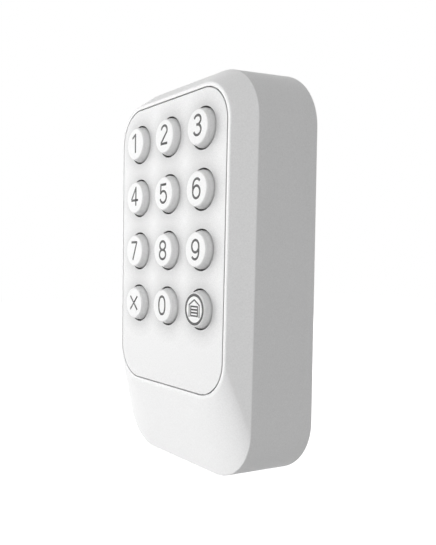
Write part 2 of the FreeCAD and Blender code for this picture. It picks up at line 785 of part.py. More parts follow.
case_outside = loft("case_outside", [
    loft_section("case_lip", LIP, "0"),
    loft_section("case_shoulder", SHOULDER, total("shoulder_depth")),
    wall_section("case_back", BACK, total("wall_gap")),
])
case_inside = loft("case_inside", [
    loft_section("case_inside_front", grown(LIP, "-front_inset"), total("front_wall")),
    loft_section("case_inside_shoulder", grown(SHOULDER, "-case_wall"),
                 total("shoulder_depth", "shoulder_wall")),
    wall_section("case_inside_back", grown(BACK, "-case_wall"), total("wall_gap")),
])
case_shell = take("case_shell", case_outside, [case_inside])
RIB_OUT = grown(HOUSING, "housing_gap", "Sizes.case_wall / 2")
RIB_IN = grown(HOUSING, "-rib_width")
rib = take("case_rib", prism("case_rib_out", RIB_OUT, SEAL_FRONT, total("rib_thick")),
           [prism("case_rib_in", RIB_IN, SEAL_FRONT, total("rib_thick"))])
bosses = [
    rod(f"case_boss_{i}", total("case_boss_radius"), total(FACE_DEPTH, "-seal_face"),
        (f"{x} * {BOSS_X}", total("-seal_face"), BOSS_Z[z]), "-Y")
    for i, (x, z) in enumerate(CORNERS)
]
bosses_in_case = shared("case_bosses", [join("case_boss_set", bosses), case_outside])
case_solid = join("case_solid", [case_shell, rib, bosses_in_case])
PANEL_SEAT = grown(PANEL, "panel_gap")
LEDGE = grown(PANEL_SEAT, "-ledge_width")
panel_seat = prism("case_panel_seat", PANEL_SEAT, total("-panel_thick"), total("panel_thick", EXTRA))
panel_window = prism("case_panel_window", LEDGE, total("-front_wall", -1), total("front_wall", EXTRA))
openings = lay_on_face(join("case_openings", [panel_seat, panel_window]))
case_tools = [openings]
for i, (x, z) in enumerate(CORNERS):
    case_tools.append(rod(
        f"case_pilot_{i}", total("case_screw_radius", "screw_clearance"),
        total("case_screw_length", "-housing_thick", "post_clearance"),
        (f"{x} * {BOSS_X}", total("-seal_face"), BOSS_Z[z]), "-Y"))
access_start = ("0", total("-lock_screw_y"), f"-{total(BACK[2], EXTRA)}")
case_tools.append(rod("case_lock_access", total("lock_access_radius"), total("case_wall", EXTRA, EXTRA / 2),
                      access_start, "+Z"))
publish(take("case", case_solid, case_tools), "front_casing")

# Rear housing: back plate, battery bay that reaches into the wall plate's window, and four catches
housing_parts = [
    prism("housing_plate", HOUSING, HOUSING_REAR, total("housing_thick")),
    prism("housing_hump", HUMP, total("door_face"), total(HUMP_FRONT, "-door_face")),
]
housing_tools = [
    prism("housing_bay", BAY, "0", BAY_DEEP),
    prism("housing_door_seat", DOOR_SEAT, "0", total(DOOR_BACK, "door_seal_thick")),
]
for i, (x, z) in enumerate(CORNERS):
    place = (f"{x} * {BOSS_X}", total(f"-{HOUSING_REAR}", 1), BOSS_Z[z])
    housing_tools.append(rod(f"housing_hole_{i}", total("case_hole_radius"), total("housing_thick", 2),
                             place, "-Y"))
for side in (-1, 1):
    housing_tools.append(centred_box(
        f"housing_slot_{side + 1}", total("leg_half_width", "leg_clearance"), BAY_DEEP, total(HUMP_FRONT, 1),
        total(BAY_TALL, "-contact_thick", "-leg_clearance"), BAY_TALL,
        f"{side} * {CELL_X}"))
housing_solid = take("housing_solid", join("housing_body", housing_parts), housing_tools)
catches = []
for i, (x, z) in enumerate(CORNERS):
    middle = f"{x} * {HOOK_X}"
    low = total(times(z, "hook_rise"), "catch_rest")
    high = total(low, "catch_bar")
    half = total("hook_half_width", "catch_gap", "catch_cheek")
    catches.append(centred_box(f"catch_bar_{i}", half, CATCH_REAR, CATCH_FRONT, low, high, middle))
    for side in (-1, 1):
        cheek_gap = total("hook_half_width", "catch_gap", "Sizes.catch_cheek / 2")
        cheek_x = total(middle, f"{side} * {cheek_gap}")
        catches.append(centred_box(f"catch_cheek_{i}_{side + 1}", "(Sizes.catch_cheek / 2)", CATCH_REAR,
                                   HOUSING_REAR, low, high, cheek_x))
LUG_LOW = f"-{PLATE[2]}"
lock_low = total(LUG_LOW, "lug_tall", "catch_gap")
lock_boss = centred_box("housing_lock_boss", total("lock_boss_half"), CATCH_REAR, HOUSING_REAR,
                        lock_low, total(lock_low, "lock_boss_tall"))
lock_pilot = rod("housing_lock_pilot", total("lock_screw_radius", "screw_clearance"),
                 total("lock_screw_length", "-lug_tall", "-catch_gap", "post_clearance"),
                 ("0", total("-lock_screw_y"), lock_low), "+Z")
housing_whole = join("housing_whole", [housing_solid, lock_boss] + catches)
publish(take("housing", housing_whole, [lock_pilot]), "rear_housing")


# Seals
def ring(name, outline, width, rear, thick):
    """Flat ring inside an outline."""
    outer = prism(f"{name}_outer", outline, rear, thick)
    return take(name, outer, [prism(f"{name}_inner", grown(outline, f"-{width}"), rear, thick)])


publish(ring("case_seal_ring", HOUSING, "seal_width", total("seal_face"), total("seal_thick")), "housing_seal")
publish(ring("door_seal_ring", DOOR, "door_seal_width", DOOR_BACK, total("door_seal_thick")), "door_seal")


def pan_screw(name, radius, length, head, head_thick, place, way):
    """Screw whose head sits behind its start point, with a round drive recess."""
    back = {"-Y": "+Y", "+Z": "-Z"}[way]
    x, y, z = place
    shank = rod(f"{name}_shank", radius, length, place, way)
    if back == "+Y":
        cap = rod(f"{name}_head", head, head_thick, place, "+Y")
        drive = rod(f"{name}_drive", total("drive_radius"), total("drive_depth"),
                    (x, total(y, head_thick, "-drive_depth"), z), "+Y")
    else:
        cap = rod(f"{name}_head", head, head_thick, (x, y, total(z, f"-{head_thick}")), "+Z")
        drive = rod(f"{name}_drive", total("drive_radius"), total("drive_depth"),
                    (x, y, total(z, f"-{head_thick}")), "+Z")
    return take(name, join(f"{name}_solid", [shank, cap]), [drive])


case_screws = [
    pan_screw(f"case_screw_{i}", total("case_screw_radius"), total("case_screw_length"),
              total("case_screw_head"), total("case_screw_head_thick"),
              (f"{x} * {BOSS_X}", f"-{HOUSING_REAR}", BOSS_Z[z]), "-Y")
    for i, (x, z) in enumerate(CORNERS)
]
publish(group("case_screw_set", case_screws), "casing_screws")
lock_screw = pan_screw("lock", total("lock_screw_radius"), total("lock_screw_length"),
                       total("lock_screw_head"), total("lock_screw_head_thick"),
                       ("0", total("-lock_screw_y"), LUG_LOW), "+Z")
publish(lock_screw, "lock_screw")

# Battery door with a finger recess
door_plate = prism("door_plate", DOOR, total("door_face"), total("door_thick"))
grip = centred_box("door_grip", total("grip_half_width"), "0", total("door_face", "grip_depth"),
                   total(DOOR[1], "-grip_drop", "-grip_height"), total(DOOR[1], "-grip_drop"))
publish(take("door", door_plate, [grip]), "battery_door")

# Two cells, one each way up
for cell_name, side in (("battery_left", -1), ("battery_right", 1)):
    x = f"{side} * {CELL_X}"
    body_low = total(f"-{CELL_END}", "cell_button") if side > 0 else f"-({CELL_END})"
    can = rod(f"{cell_name}_can", total("cell_radius"), total("cell_length", "-cell_button"),
              (x, f"-{CELL_Y}", body_low), "+Z")
    button_low = f"-({CELL_END})" if side > 0 else total(CELL_END, "-cell_button")
    button = rod(f"{cell_name}_button", total("cell_button_radius"), total("cell_button"),
                 (x, f"-{CELL_Y}", button_low), "+Z")
    publish(join(f"{cell_name}_solid", [can, button]), cell_name)

# Contacts: sprung strips between the ends of the bay and the cells
LEAF_FAR = total(CELL_END, "contact_play", "contact_thick")
CONTACT_NEAR = total(CELL_Y, "contact_half_depth")
CONTACT_FAR = total(CELL_Y, "-contact_half_depth")


def strip(name, x, half, direction):
    """Wall strip, fold and leaf, at the upper or lower end of the bay."""
    def span(low, high):
        return (low, high) if direction > 0 else (f"-{high}", f"-{low}")

    end = BAY_TALL
    back = total(end, "-contact_thick")
    leaf = total(LEAF_FAR, "-contact_thick")
    fold = total(CONTACT_NEAR, "-contact_thick")
    return [
        centred_box(f"{name}_wall", half, CONTACT_FAR, CONTACT_NEAR, *span(back, end), x),
        centred_box(f"{name}_fold", half, fold, CONTACT_NEAR, *span(leaf, end), x),
        centred_box(f"{name}_leaf", half, CONTACT_FAR, CONTACT_NEAR, *span(leaf, LEAF_FAR), x),
    ]


LEG_END = total(FACE_DEPTH, f"-{BOARD_FRONT}", "-Sizes.board_thick / 2")
terminals = []
for side in (-1, 1):
    x = f"{side} * {CELL_X}"
    pieces = strip(f"terminal_{side + 1}", x, total("contact_half_width"), 1)
    leg = centred_box(f"terminal_leg_{side + 1}", total("leg_half_width"), CONTACT_FAR,
                      LEG_END, total(BAY_TALL, "-contact_thick"), BAY_TALL, x)
    terminals.append(join(f"terminal_solid_{side + 1}", pieces + [leg]))
publish(group("terminal_set", terminals), "terminal_contacts")
bridge_half = total(CELL_X, "contact_half_width")
publish(join("bridge", strip("bridge_strip", "0", bridge_half, -1)), "bridge_contact")

# Wall plate: flat frame with a window for the battery bay, four tongues, wall screw holes and a screw lug
plate_parts = [prism("plate_sheet", PLATE, "0", total("plate_thick"))]
for i, (x, z) in enumerate(CORNERS):
    middle = f"{x} * {HOOK_X}"
    stem_low = total(times(z, "hook_rise"), "-hook_stem")
    stem_high = total(times(z, "hook_rise"))
    tip = total(stem_high, "hook_reach")
    half = total("hook_half_width")
    plate_parts.append(centred_box(f"hook_stem_{i}", half, total("plate_thick", -1), HOOK_FRONT,
                                   stem_low, stem_high, middle))
    plate_parts.append(centred_box(f"hook_tongue_{i}", half, HOOK_REAR, HOOK_FRONT, stem_low, tip, middle))
plate_parts.append(centred_box("plate_lug", total("lug_half_width"), total("plate_thick", -1),
                               total("plate_thick", "lug_height"), LUG_LOW, total(LUG_LOW, "lug_tall")))
plate_tools = [prism("plate_window", WINDOW, "-1", total("plate_thick", 2))]
for i, (x, z) in enumerate(CORNERS):
    place = (times(x, "wall_hole_x"), "1", times(z, "wall_hole_rise"))
    plate_tools.append(rod(f"plate_hole_{i}", total("wall_hole_radius"), total("plate_thick", 2), place, "-Y"))
plate_tools.append(rod("plate_lug_hole", total("lock_screw_radius", "screw_clearance"), total("lug_tall", 2),
                       ("0", total("-lock_screw_y"), total(LUG_LOW, -1)), "+Z"))
publish(take("plate", join("plate_solid", plate_parts), plate_tools), "wall_plate")

# Build everything, check it and write one file for each sub-part
doc.recompute()
failed = [item.Label for item in doc.Objects if {"Invalid", "Error"} & set(item.State)]
for item in subparts:
    if item.Shape.isNull() or not item.Shape.isValid():
        failed.append(item.Label)
if failed:
    raise ValueError(f"not built: {failed}")
os.makedirs("parts", exist_ok=True)
for item in subparts:
    item.Shape.exportStep(f"parts/{item.Label}.step")
print(len(subparts), "sub-parts written")
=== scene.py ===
"""Wireless garage keypad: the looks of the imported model.

Everything is in metres in the row's frame, +Z up, with the keys facing -Y and the wall at Y = 0. Sizes
in the fields below are in millimetres and angles in degrees, but a lean is in radians. Pieces are
modelled lying flat, with X to the right, Y up the keypad and Z out of its front, and are then seated on
the wall or on the key panel.
"""

import json
import logging
import math
from abc import ABC, abstractmethod
from contextlib import contextmanager
from dataclasses import dataclass, field
from enum import Enum
from functools import cache, cached_property
from typing import Any, Callable, Iterator, Sequence

import bmesh
import bpy
from mathutils import Matrix, Vector


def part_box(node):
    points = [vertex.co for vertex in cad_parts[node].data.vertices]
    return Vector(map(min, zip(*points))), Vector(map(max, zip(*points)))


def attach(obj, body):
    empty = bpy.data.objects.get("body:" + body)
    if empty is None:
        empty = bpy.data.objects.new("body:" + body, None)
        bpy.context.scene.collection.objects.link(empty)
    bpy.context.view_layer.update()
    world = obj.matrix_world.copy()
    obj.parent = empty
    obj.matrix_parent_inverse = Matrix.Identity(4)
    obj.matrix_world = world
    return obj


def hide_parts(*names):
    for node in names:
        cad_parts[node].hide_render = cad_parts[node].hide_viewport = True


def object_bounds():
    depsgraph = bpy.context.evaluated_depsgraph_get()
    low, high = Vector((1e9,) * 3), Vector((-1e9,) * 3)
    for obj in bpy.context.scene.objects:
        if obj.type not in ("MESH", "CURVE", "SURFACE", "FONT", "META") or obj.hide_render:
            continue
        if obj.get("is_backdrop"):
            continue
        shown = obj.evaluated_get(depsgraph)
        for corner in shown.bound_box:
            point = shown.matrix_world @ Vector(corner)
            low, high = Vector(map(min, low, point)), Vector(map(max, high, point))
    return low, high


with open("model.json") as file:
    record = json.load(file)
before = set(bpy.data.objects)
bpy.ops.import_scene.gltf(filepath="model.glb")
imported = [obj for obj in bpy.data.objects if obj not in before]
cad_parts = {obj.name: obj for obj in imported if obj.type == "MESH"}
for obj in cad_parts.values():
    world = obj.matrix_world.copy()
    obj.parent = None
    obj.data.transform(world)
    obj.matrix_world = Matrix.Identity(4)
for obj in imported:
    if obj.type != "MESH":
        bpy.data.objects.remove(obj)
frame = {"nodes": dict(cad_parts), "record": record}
CAD_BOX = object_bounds()

MM = 0.001
TINY = 0.004
OVERSHOOT = 1.0
CENTRE = (0.0, 0.0, 0.0)
UPRIGHT = Matrix.Rotation(math.pi / 2, 4, "X")
LOG = logging.getLogger("keypad")

Piece = bpy.types.Object
Socket = bpy.types.NodeSocket
Material = bpy.types.Material
Point = tuple[float, float]
Colour = tuple[float, float, float, float]

WHITE: Colour = (1.0, 1.0, 1.0, 1.0)
BLACK: Colour = (0.0, 0.0, 0.0, 1.0)
PLASTIC_IOR = 1.5
RUBBER_IOR = 1.41


# Outlines and seats

@dataclass(frozen=True)
class Outline:
    """Rounded rectangle about the origin: half width, reach up and down, and corner radius."""

    half: float
    top: float
    bottom: float
    corner: float

    def grown(self, by: float) -> "Outline":
        """Return the outline moved outwards by a distance, corner radius included."""
        return Outline(self.half + by, self.top + by, self.bottom + by, self.corner + by)

    def centre(self, side: int, end: int) -> Vector:
        """Return the middle of one corner's arc, in metres; side and end are 1 or -1."""
        reach = self.top if end > 0 else self.bottom
        return Vector((side * (self.half - self.corner), end * (reach - self.corner), 0.0)) * MM

    def distance(self, x: float, y: float) -> float:
        """Return how far a point in millimetres lies outside the outline; negative inside."""
        middle = (self.top - self.bottom) / 2
        across = abs(x) - (self.half - self.corner)
        along = abs(y - middle) - ((self.top + self.bottom) / 2 - self.corner)
        outside = math.hypot(max(across, 0.0), max(along, 0.0))
        return outside + min(max(across, along), 0.0) - self.corner


@dataclass(frozen=True)
class Seat:
    """Plane that an outline lies in: its lean about X and its origin."""

    lean: float
    origin: Vector

    def matrix(self) -> Matrix:
        """Return the flat modelling frame's place, in metres."""
        return Matrix.Translation(self.origin * MM) @ Matrix.Rotation(-self.lean, 4, "X")


@dataclass(frozen=True)
class Ring:
    """One closed outline of a lofted shell, lying in its seat."""

    outline: Outline
    seat: Seat

    def holds(self, point: Vector) -> bool:
        """Tell whether a point in metres lies on this ring."""
        flat = self.seat.matrix().inverted() @ point / MM
        return abs(flat.z) < TINY and abs(self.outline.distance(flat.x, flat.y)) < TINY


def press_lean() -> float:
    """Return how far the key panel leans back, in radians, from the way in which its keys travel."""
    joints = frame["record"]["behaviour"]["joints"]
    axis = next(joint["axis"] for joint in joints if joint["name"].startswith("press"))
    return math.atan2(-axis[2], axis[1])


def moved(x: float, y: float, z: float = 0.0) -> Matrix:
    """Return the shift by three lengths in millimetres."""
    return Matrix.Translation(Vector((x, y, z)) * MM)


# Modelling helpers

def deselect() -> None:
    """Leave nothing selected and no object in edit mode."""
    if bpy.context.object and bpy.context.object.mode != "OBJECT":
        bpy.ops.object.mode_set(mode="OBJECT")
    bpy.ops.object.select_all(action="DESELECT")


def activate(piece: Piece) -> None:
    """Make one object the only selected one, and the active one."""
    deselect()
    piece.select_set(True)
    bpy.context.view_layer.objects.active = piece


@contextmanager
def editing(piece: Piece, mode: str = "VERT") -> Iterator[None]:
    """Edit one object's VERT, EDGE or FACE parts, with all of its mesh selected at first."""
    activate(piece)
    bpy.ops.object.mode_set(mode="EDIT")
    bpy.ops.mesh.select_mode(type=mode)
    bpy.ops.mesh.select_all(action="SELECT")
    yield
    bpy.ops.object.mode_set(mode="OBJECT")


def select_verts(piece: Piece, wanted: Callable[[bmesh.types.BMVert], bool]) -> list[int]:
    """Select the vertices that pass a test, and nothing else, and return their indices."""
    bpy.ops.mesh.select_all(action="DESELECT")
    mesh = bmesh.from_edit_mesh(piece.data)
    mesh.verts.index_update()
    chosen = [vert for vert in mesh.verts if wanted(vert)]
    for vert in chosen:
        vert.select = True
    mesh.select_flush(True)
    bmesh.update_edit_mesh(piece.data)
    return [vert.index for vert in chosen]


def select_edges(piece: Piece, wanted: Callable[[Vector], bool]) -> None:
    """Select the edges whose two ends pass a test, and nothing else."""
    bpy.ops.mesh.select_all(action="DESELECT")
    for edge in bmesh.from_edit_mesh(piece.data).edges:
        edge.select = all(wanted(vert.co) for vert in edge.verts)
    bmesh.update_edit_mesh(piece.data)


def selected_verts(piece: Piece) -> set[int]:
    """Return the indices of the vertices selected in edit mode."""
    mesh = bmesh.from_edit_mesh(piece.data)
    mesh.verts.index_update()
    return {vert.index for vert in mesh.verts if vert.select}


def face_outwards() -> None:
    """Select the whole mesh that is being edited and turn its faces outwards."""
    bpy.ops.mesh.select_all(action="SELECT")
    bpy.ops.mesh.normals_make_consistent(inside=False)


def turn_about_x(angle: float) -> None:
    """Turn what is selected about X by the right-hand rule; the operator turns the other way."""
    bpy.ops.transform.rotate(value=-angle, orient_axis="X", center_override=CENTRE)


def scale_flat(across: float, along: float, middle: Sequence[float] = CENTRE) -> None:
    """Scale what is selected in the modelling frame's XY plane, about a point in metres."""
    bpy.ops.transform.resize(value=(across, along, 1.0), center_override=middle)


def shift(by: Vector) -> None:
    """Move what is selected by some metres."""
    bpy.ops.transform.translate(value=by)


def bevel(radius: float, segments: int, kind: str) -> None:
    """Round what is selected, EDGES or VERTICES, to a radius in millimetres."""
    bpy.ops.mesh.bevel(offset=radius * MM, segments=segments, profile=0.5, affect=kind, clamp_overlap=False)


def apply_modifier(piece: Piece, kind: str, **settings: Any) -> None:
    """Add a modifier with some settings and apply it."""
    activate(piece)
    bpy.ops.object.modifier_add(type=kind)
    modifier = piece.modifiers[-1]
    for name, value in settings.items():
        setattr(modifier, name, value)
    bpy.ops.object.modifier_apply(modifier=modifier.name)


def cut(piece: Piece, tool: Piece) -> None:
    """Take a tool's solid away from a piece, and delete the tool."""
    apply_modifier(piece, "BOOLEAN", operation="DIFFERENCE", solver="EXACT", object=tool)
    bpy.data.objects.remove(tool)


def unite(pieces: Sequence[Piece]) -> Piece:
    """Join solids that overlap into the first one, and delete the others."""
    whole, *others = pieces
    for other in others:
        apply_modifier(whole, "BOOLEAN", operation="UNION", solver="EXACT", object=other)
        bpy.data.objects.remove(other)
    return whole


def put_together(pieces: Sequence[Piece]) -> None:
    """Join separate solids into the first one's mesh, without merging them."""
    activate(pieces[0])
    for piece in pieces[1:]:
        piece.select_set(True)
    bpy.ops.object.join()


def settle(piece: Piece, place: Matrix) -> None:
    """Move a piece to its place and apply that to its mesh."""
    activate(piece)
    piece.matrix_world = place @ piece.matrix_world
    bpy.ops.object.transform_apply(location=True, rotation=True, scale=True)


def soften(piece: Piece, angle: float = 35.0) -> None:
    """Shade a piece smooth up to an angle in degrees, with its flat faces kept flat."""
    activate(piece)
    bpy.ops.object.shade_smooth_by_angle(angle=math.radians(angle))
    apply_modifier(piece, "WEIGHTED_NORMAL", keep_sharp=True, weight=100)


def duplicate(piece: Piece, name: str) -> Piece:
    """Copy a piece with a mesh of its own."""
    copy = piece.copy()
    copy.data = piece.data.copy()
    copy.name = copy.data.name = name
    bpy.context.collection.objects.link(copy)
    return copy


def spread(model: Piece, places: Sequence[Matrix]) -> list[Piece]:
    """Put a copy of a model in each place, and delete the model."""
    copies = [duplicate(model, model.name) for _ in places]
    for copy, place in zip(copies, places):
        settle(copy, place)
    bpy.data.objects.remove(model)
    return copies


def rounded_plate(name: str, outline: Outline, segments: int) -> Piece:
    """Model a flat face with rounded corners, from a plane with its corners bevelled.

    Args:
        name: the piece's name.
        outline: the face's outline.
        segments: edges in each corner's arc.

    Returns:
        The piece, in the modelling frame's XY plane.
    """
    deselect()
    bpy.ops.mesh.primitive_plane_add(size=1.0)
    piece = bpy.context.object
    piece.name = piece.data.name = name
    with editing(piece):
        scale_flat(2 * outline.half * MM, (outline.top + outline.bottom) * MM)
        shift(Vector((0.0, (outline.top - outline.bottom) / 2, 0.0)) * MM)
        bevel(outline.corner, segments, "VERTICES")
    return piece


def reshape_ring(piece: Piece, now: Outline, then: Outline) -> None:
    """Change the selected flat ring from one outline to another, corner by corner.

    Args:
        piece: the object in edit mode, with one ring of vertices selected.
        now: the outline that the ring has.
        then: the outline that it gets.
    """
    ring = selected_verts(piece)
    scale = then.corner / now.corner
    slack = TINY * MM
    for side, end in ((1, 1), (-1, 1), (-1, -1), (1, -1)):
        middle = now.centre(side, end)

        def in_corner(vert: bmesh.types.BMVert) -> bool:
            """Tell whether a vertex of the ring belongs to this corner's arc."""
            off = vert.co - middle
            return vert.index in ring and off.x * side > -slack and off.y * end > -slack

        corner = select_verts(piece, in_corner)
        assert corner, f"no corner found in {piece.name}"
        scale_flat(scale, scale, middle)
        shift(then.centre(side, end) - middle)
        ring -= set(corner)


def loft_rings(name: str, rings: Sequence[Ring], segments: int) -> Piece:
    """Model a closed shell that runs through some rings and back to the first.

    Args:
        name: the piece's name.
        rings: the outlines in order, each joined to the next.
        segments: edges in each corner's arc.

    Returns:
        The piece, with its faces outwards.
    """
    piece = rounded_plate(name, rings[0].outline, segments)
    with editing(piece):
        turn_about_x(-rings[0].seat.lean)
        shift(rings[0].seat.origin * MM)
        bpy.ops.mesh.delete(type="ONLY_FACE")
        bpy.ops.mesh.select_all(action="SELECT")
        for now, then in zip(rings, [*rings[1:], rings[0]]):
            bpy.ops.mesh.extrude_edges_move()
            shift(-now.seat.origin * MM)
            turn_about_x(now.seat.lean)
            ring = selected_verts(piece)
            reshape_ring(piece, now.outline, then.outline)
            select_verts(piece, lambda vert: vert.index in ring)
            turn_about_x(-then.seat.lean)
            shift(then.seat.origin * MM)
        bpy.ops.mesh.select_all(action="SELECT")
        bpy.ops.mesh.remove_doubles(threshold=TINY * MM)
        face_outwards()
    return piece


def round_ring(piece: Piece, ring: Ring, radius: float, segments: int) -> None:
    """Round the edges of a piece that lie along one ring."""
    with editing(piece, "EDGE"):
        select_edges(piece, ring.holds)
        bevel(radius, segments, "EDGES")


def turned(name: str, profile: Sequence[Point], facets: int) -> Piece:
    """Model a turned solid about Z, from a disc that is extruded and scaled along its profile.

    Args:
        name: the piece's name.
        profile: pairs of radius and height, from the first cap to the last.
        facets: faces round the axis.

    Returns:
        The piece, closed at both ends.
    """
    deselect()
    radius, height = profile[0]
    bpy.ops.mesh.primitive_circle_add(vertices=facets, radius=radius * MM, fill_type="NGON",
                                      location=(0.0, 0.0, height * MM))
    piece = bpy.context.object
    piece.name = piece.data.name = name
    bpy.ops.object.transform_apply(location=True)
    with editing(piece, "FACE"):
        for next_radius, next_height in profile[1:]:
            step = (0.0, 0.0, (next_height - height) * MM)
            bpy.ops.mesh.extrude_region_move(TRANSFORM_OT_translate={"value": step})
            scale_flat(next_radius / radius, next_radius / radius)
            radius, height = next_radius, next_height
        face_outwards()
    return piece


def arc(middle: Point, radii: Point, start: float, end: float, steps: int = 18) -> list[Point]:
    """Return points along an elliptical arc.

    Args:
        middle: its centre.
        radii: its radii across and up.
        start: the angle in degrees at its start, anticlockwise from the right.
        end: the angle in degrees at its end.
        steps: how many runs it is divided into.
    """
    turn = [math.radians(start + (end - start) * step / steps) for step in range(steps + 1)]
    return [(middle[0] + radii[0] * math.cos(t), middle[1] + radii[1] * math.sin(t)) for t in turn]


# Finishes

def linear(colour: str, light: float = 1.0) -> Colour:
    """Turn an sRGB hex colour such as F2F2F0 into a linear one with full alpha, its light scaled."""
    parts = [int(colour[i:i + 2], 16) / 255 for i in (0, 2, 4)]
    red, green, blue = (c / 12.92 if c <= 0.04045 else ((c + 0.055) / 1.055) ** 2.4 for c in parts)
    return (red * light, green * light, blue * light, 1.0)


class Shading:
    """Node tree of a material or a world, with short ways to add what the looks need."""

    def __init__(self, owner: Material | bpy.types.World) -> None:
        """Start with an empty tree."""
        owner.use_nodes = True
        self.tree = owner.node_tree
        self.tree.nodes.clear()

    def add(self, kind: str, inputs: dict[str | int, Any] | None = None,
            **settings: Any) -> bpy.types.Node:
        """Add a node.

        Args:
            kind: the node's type.
            inputs: for each input's name or number, its constant or the socket that feeds it.
            settings: the node's own properties.
        """
        node = self.tree.nodes.new(kind)
        for name, value in settings.items():
            setattr(node, name, value)
        for name, value in (inputs or {}).items():
            if isinstance(value, Socket):
                self.tree.links.new(value, node.inputs[name])
            else:
                node.inputs[name].default_value = value
        return node

    def maths(self, operation: str, first: Any, second: Any) -> Socket:
        """Return the result of two numbers, each a constant or a socket."""
        return self.add("ShaderNodeMath", {0: first, 1: second}, operation=operation).outputs[0]

    def ranged(self, value: Socket, start: Point = (0.0, 1.0), end: Point = (0.0, 1.0)) -> Socket:
        """Return a number mapped from one range to another."""
        limits = {"From Min": start[0], "From Max": start[1], "To Min": end[0], "To Max": end[1]}
        return self.add("ShaderNodeMapRange", {"Value": value, **limits}).outputs["Result"]

    def blend(self, share: Socket, first: Any, second: Any) -> Socket:
        """Return a mix of two colours, each a constant or a socket, by the second one's share."""
        return self.add("ShaderNodeMix", {0: share, 6: first, 7: second}, data_type="RGBA").outputs[2]


class Skin(Shading):
    """Tree of a material whose pattern sits in the piece's own coordinates."""

    def __init__(self, owner: Material) -> None:
        """Start with the coordinates."""
        super().__init__(owner)
        self.place = self.add("ShaderNodeTexCoord").outputs["Object"]

    def noise(self, size: float, detail: float = 2.0, roughness: float = 0.5,
              place: Socket | None = None) -> Socket:
        """Return noise whose grains are a size in millimetres.

        Args:
            size: the grains' size.
            detail: how many finer layers it has.
            roughness: how strong the finer layers are.
            place: the coordinates, where they aren't the piece's own.
        """
        inputs = {"Scale": 1.0 / (size * MM), "Detail": detail, "Roughness": roughness,
                  "Vector": self.place if place is None else place}
        return self.add("ShaderNodeTexNoise", inputs).outputs["Fac"]

    def relief(self, height: Socket, depth: float) -> Socket:
        """Return the normal of a relief that is a depth in millimetres."""
        inputs = {"Strength": 1.0, "Distance": depth * MM, "Height": height}
        return self.add("ShaderNodeBump", inputs).outputs["Normal"]


@dataclass(frozen=True)
class Surface(ABC):
    """What a piece is made of and how it looks, with its colour as an sRGB hex number."""

    name: str
    colour: str

    @abstractmethod
    def looks(self, skin: Skin) -> dict[str, Any]:
        """Return the shader's inputs, each a constant or a socket of the skin's tree."""

    def material(self) -> Material:
        """Build the material."""
        made = bpy.data.materials.new(self.name)
        skin = Skin(made)
        shader = skin.add("ShaderNodeBsdfPrincipled", self.looks(skin))
        skin.add("ShaderNodeOutputMaterial", {"Surface": shader.outputs["BSDF"]})
        return made


@dataclass(frozen=True)
class MouldedPlastic(Surface):
    """Injection-moulded plastic from a spark-eroded mould: an even satin skin with a fine grain."""

    roughness: float = 0.6
    gloss_spread: float = 0.03
    grain: float = 0.45
    grain_depth: float = 0.02
    mottle: float = 0.12
    flow: float = 24.0
    tint: float = 0.02
    # Painted shade: film sets how far the colour is greyed where the surface is shut in; reach and spread
    # set how far out and how steeply.
    film: float = 0.0
    painted_shade_reach: float = 7.0
    painted_shade_spread: float = 0.28

    def looks(self, skin: Skin) -> dict[str, Any]:
        """Return the shader's inputs."""
        grain = skin.noise(self.grain, detail=3.0, roughness=0.6)
        shade = skin.blend(skin.noise(self.flow), linear(self.colour, 1.0 - self.tint), linear(self.colour))
        shade = self.mottled(skin, grain, shade)
        if self.film:
            shade = self.add_painted_shade(skin, shade)
        gloss = (self.roughness - self.gloss_spread, self.roughness + self.gloss_spread)
        return {"Base Color": shade, "Roughness": skin.ranged(grain, end=gloss),
                "Normal": skin.relief(grain, self.grain_depth), "IOR": PLASTIC_IOR}

    def mottled(self, skin: Skin, grain: Socket, shade: Socket) -> Socket:
        """Return the even colour, made a little lighter and darker by the grain's height."""
        level = skin.ranged(grain, end=(1.0 - self.mottle, 1.0 + self.mottle))
        return skin.add("ShaderNodeVectorMath", {0: shade, 1: level}, operation="MULTIPLY").outputs[0]

    def add_painted_shade(self, skin: Skin, shade: Socket) -> Socket:
        """Return the clean colour with painted shade: greyed where the surface is shut in, round the keys.
        """
        around = skin.add("ShaderNodeAmbientOcclusion", {"Distance": self.painted_shade_reach * MM}, samples=16)
        shut = skin.maths("SUBTRACT", 1.0, around.outputs["AO"])
        film = skin.maths("MULTIPLY", skin.maths("POWER", shut, self.painted_shade_spread), self.film)
        return skin.blend(film, shade, BLACK)


@dataclass(frozen=True)
class PrintedInk(Surface):
    """Pad-printed ink: a thin, dull, slightly uneven film."""

    roughness: float = 0.6
    patch: float = 0.5
    worn_light: float = 1.12

    def looks(self, skin: Skin) -> dict[str, Any]:
        """Return the shader's inputs."""
        worn = linear(self.colour, self.worn_light)
        shade = skin.blend(skin.noise(self.patch), linear(self.colour), worn)
        return {"Base Color": shade, "Roughness": self.roughness}


@dataclass(frozen=True)
class RolledMetal(Surface):
    """Rolled or drawn metal, plated: fine lines along one way and a soft shine."""

    roughness: float = 0.32
    line: float = 0.25
    line_stretch: float = 0.06
    line_depth: float = 0.002
    brighter: float = 0.08
    duller: float = 0.1

    def looks(self, skin: Skin) -> dict[str, Any]:
        """Return the shader's inputs."""
        stretch = {"Scale": (1.0, 1.0, self.line_stretch), "Vector": skin.place}
        drawn = skin.add("ShaderNodeMapping", stretch).outputs["Vector"]
        lines = skin.noise(self.line, detail=3.0, place=drawn)
        gloss = (self.roughness - self.brighter, self.roughness + self.duller)
        return {"Base Color": linear(self.colour), "Metallic": 1.0,
                "Roughness": skin.ranged(lines, end=gloss), "Normal": skin.relief(lines, self.line_depth)}


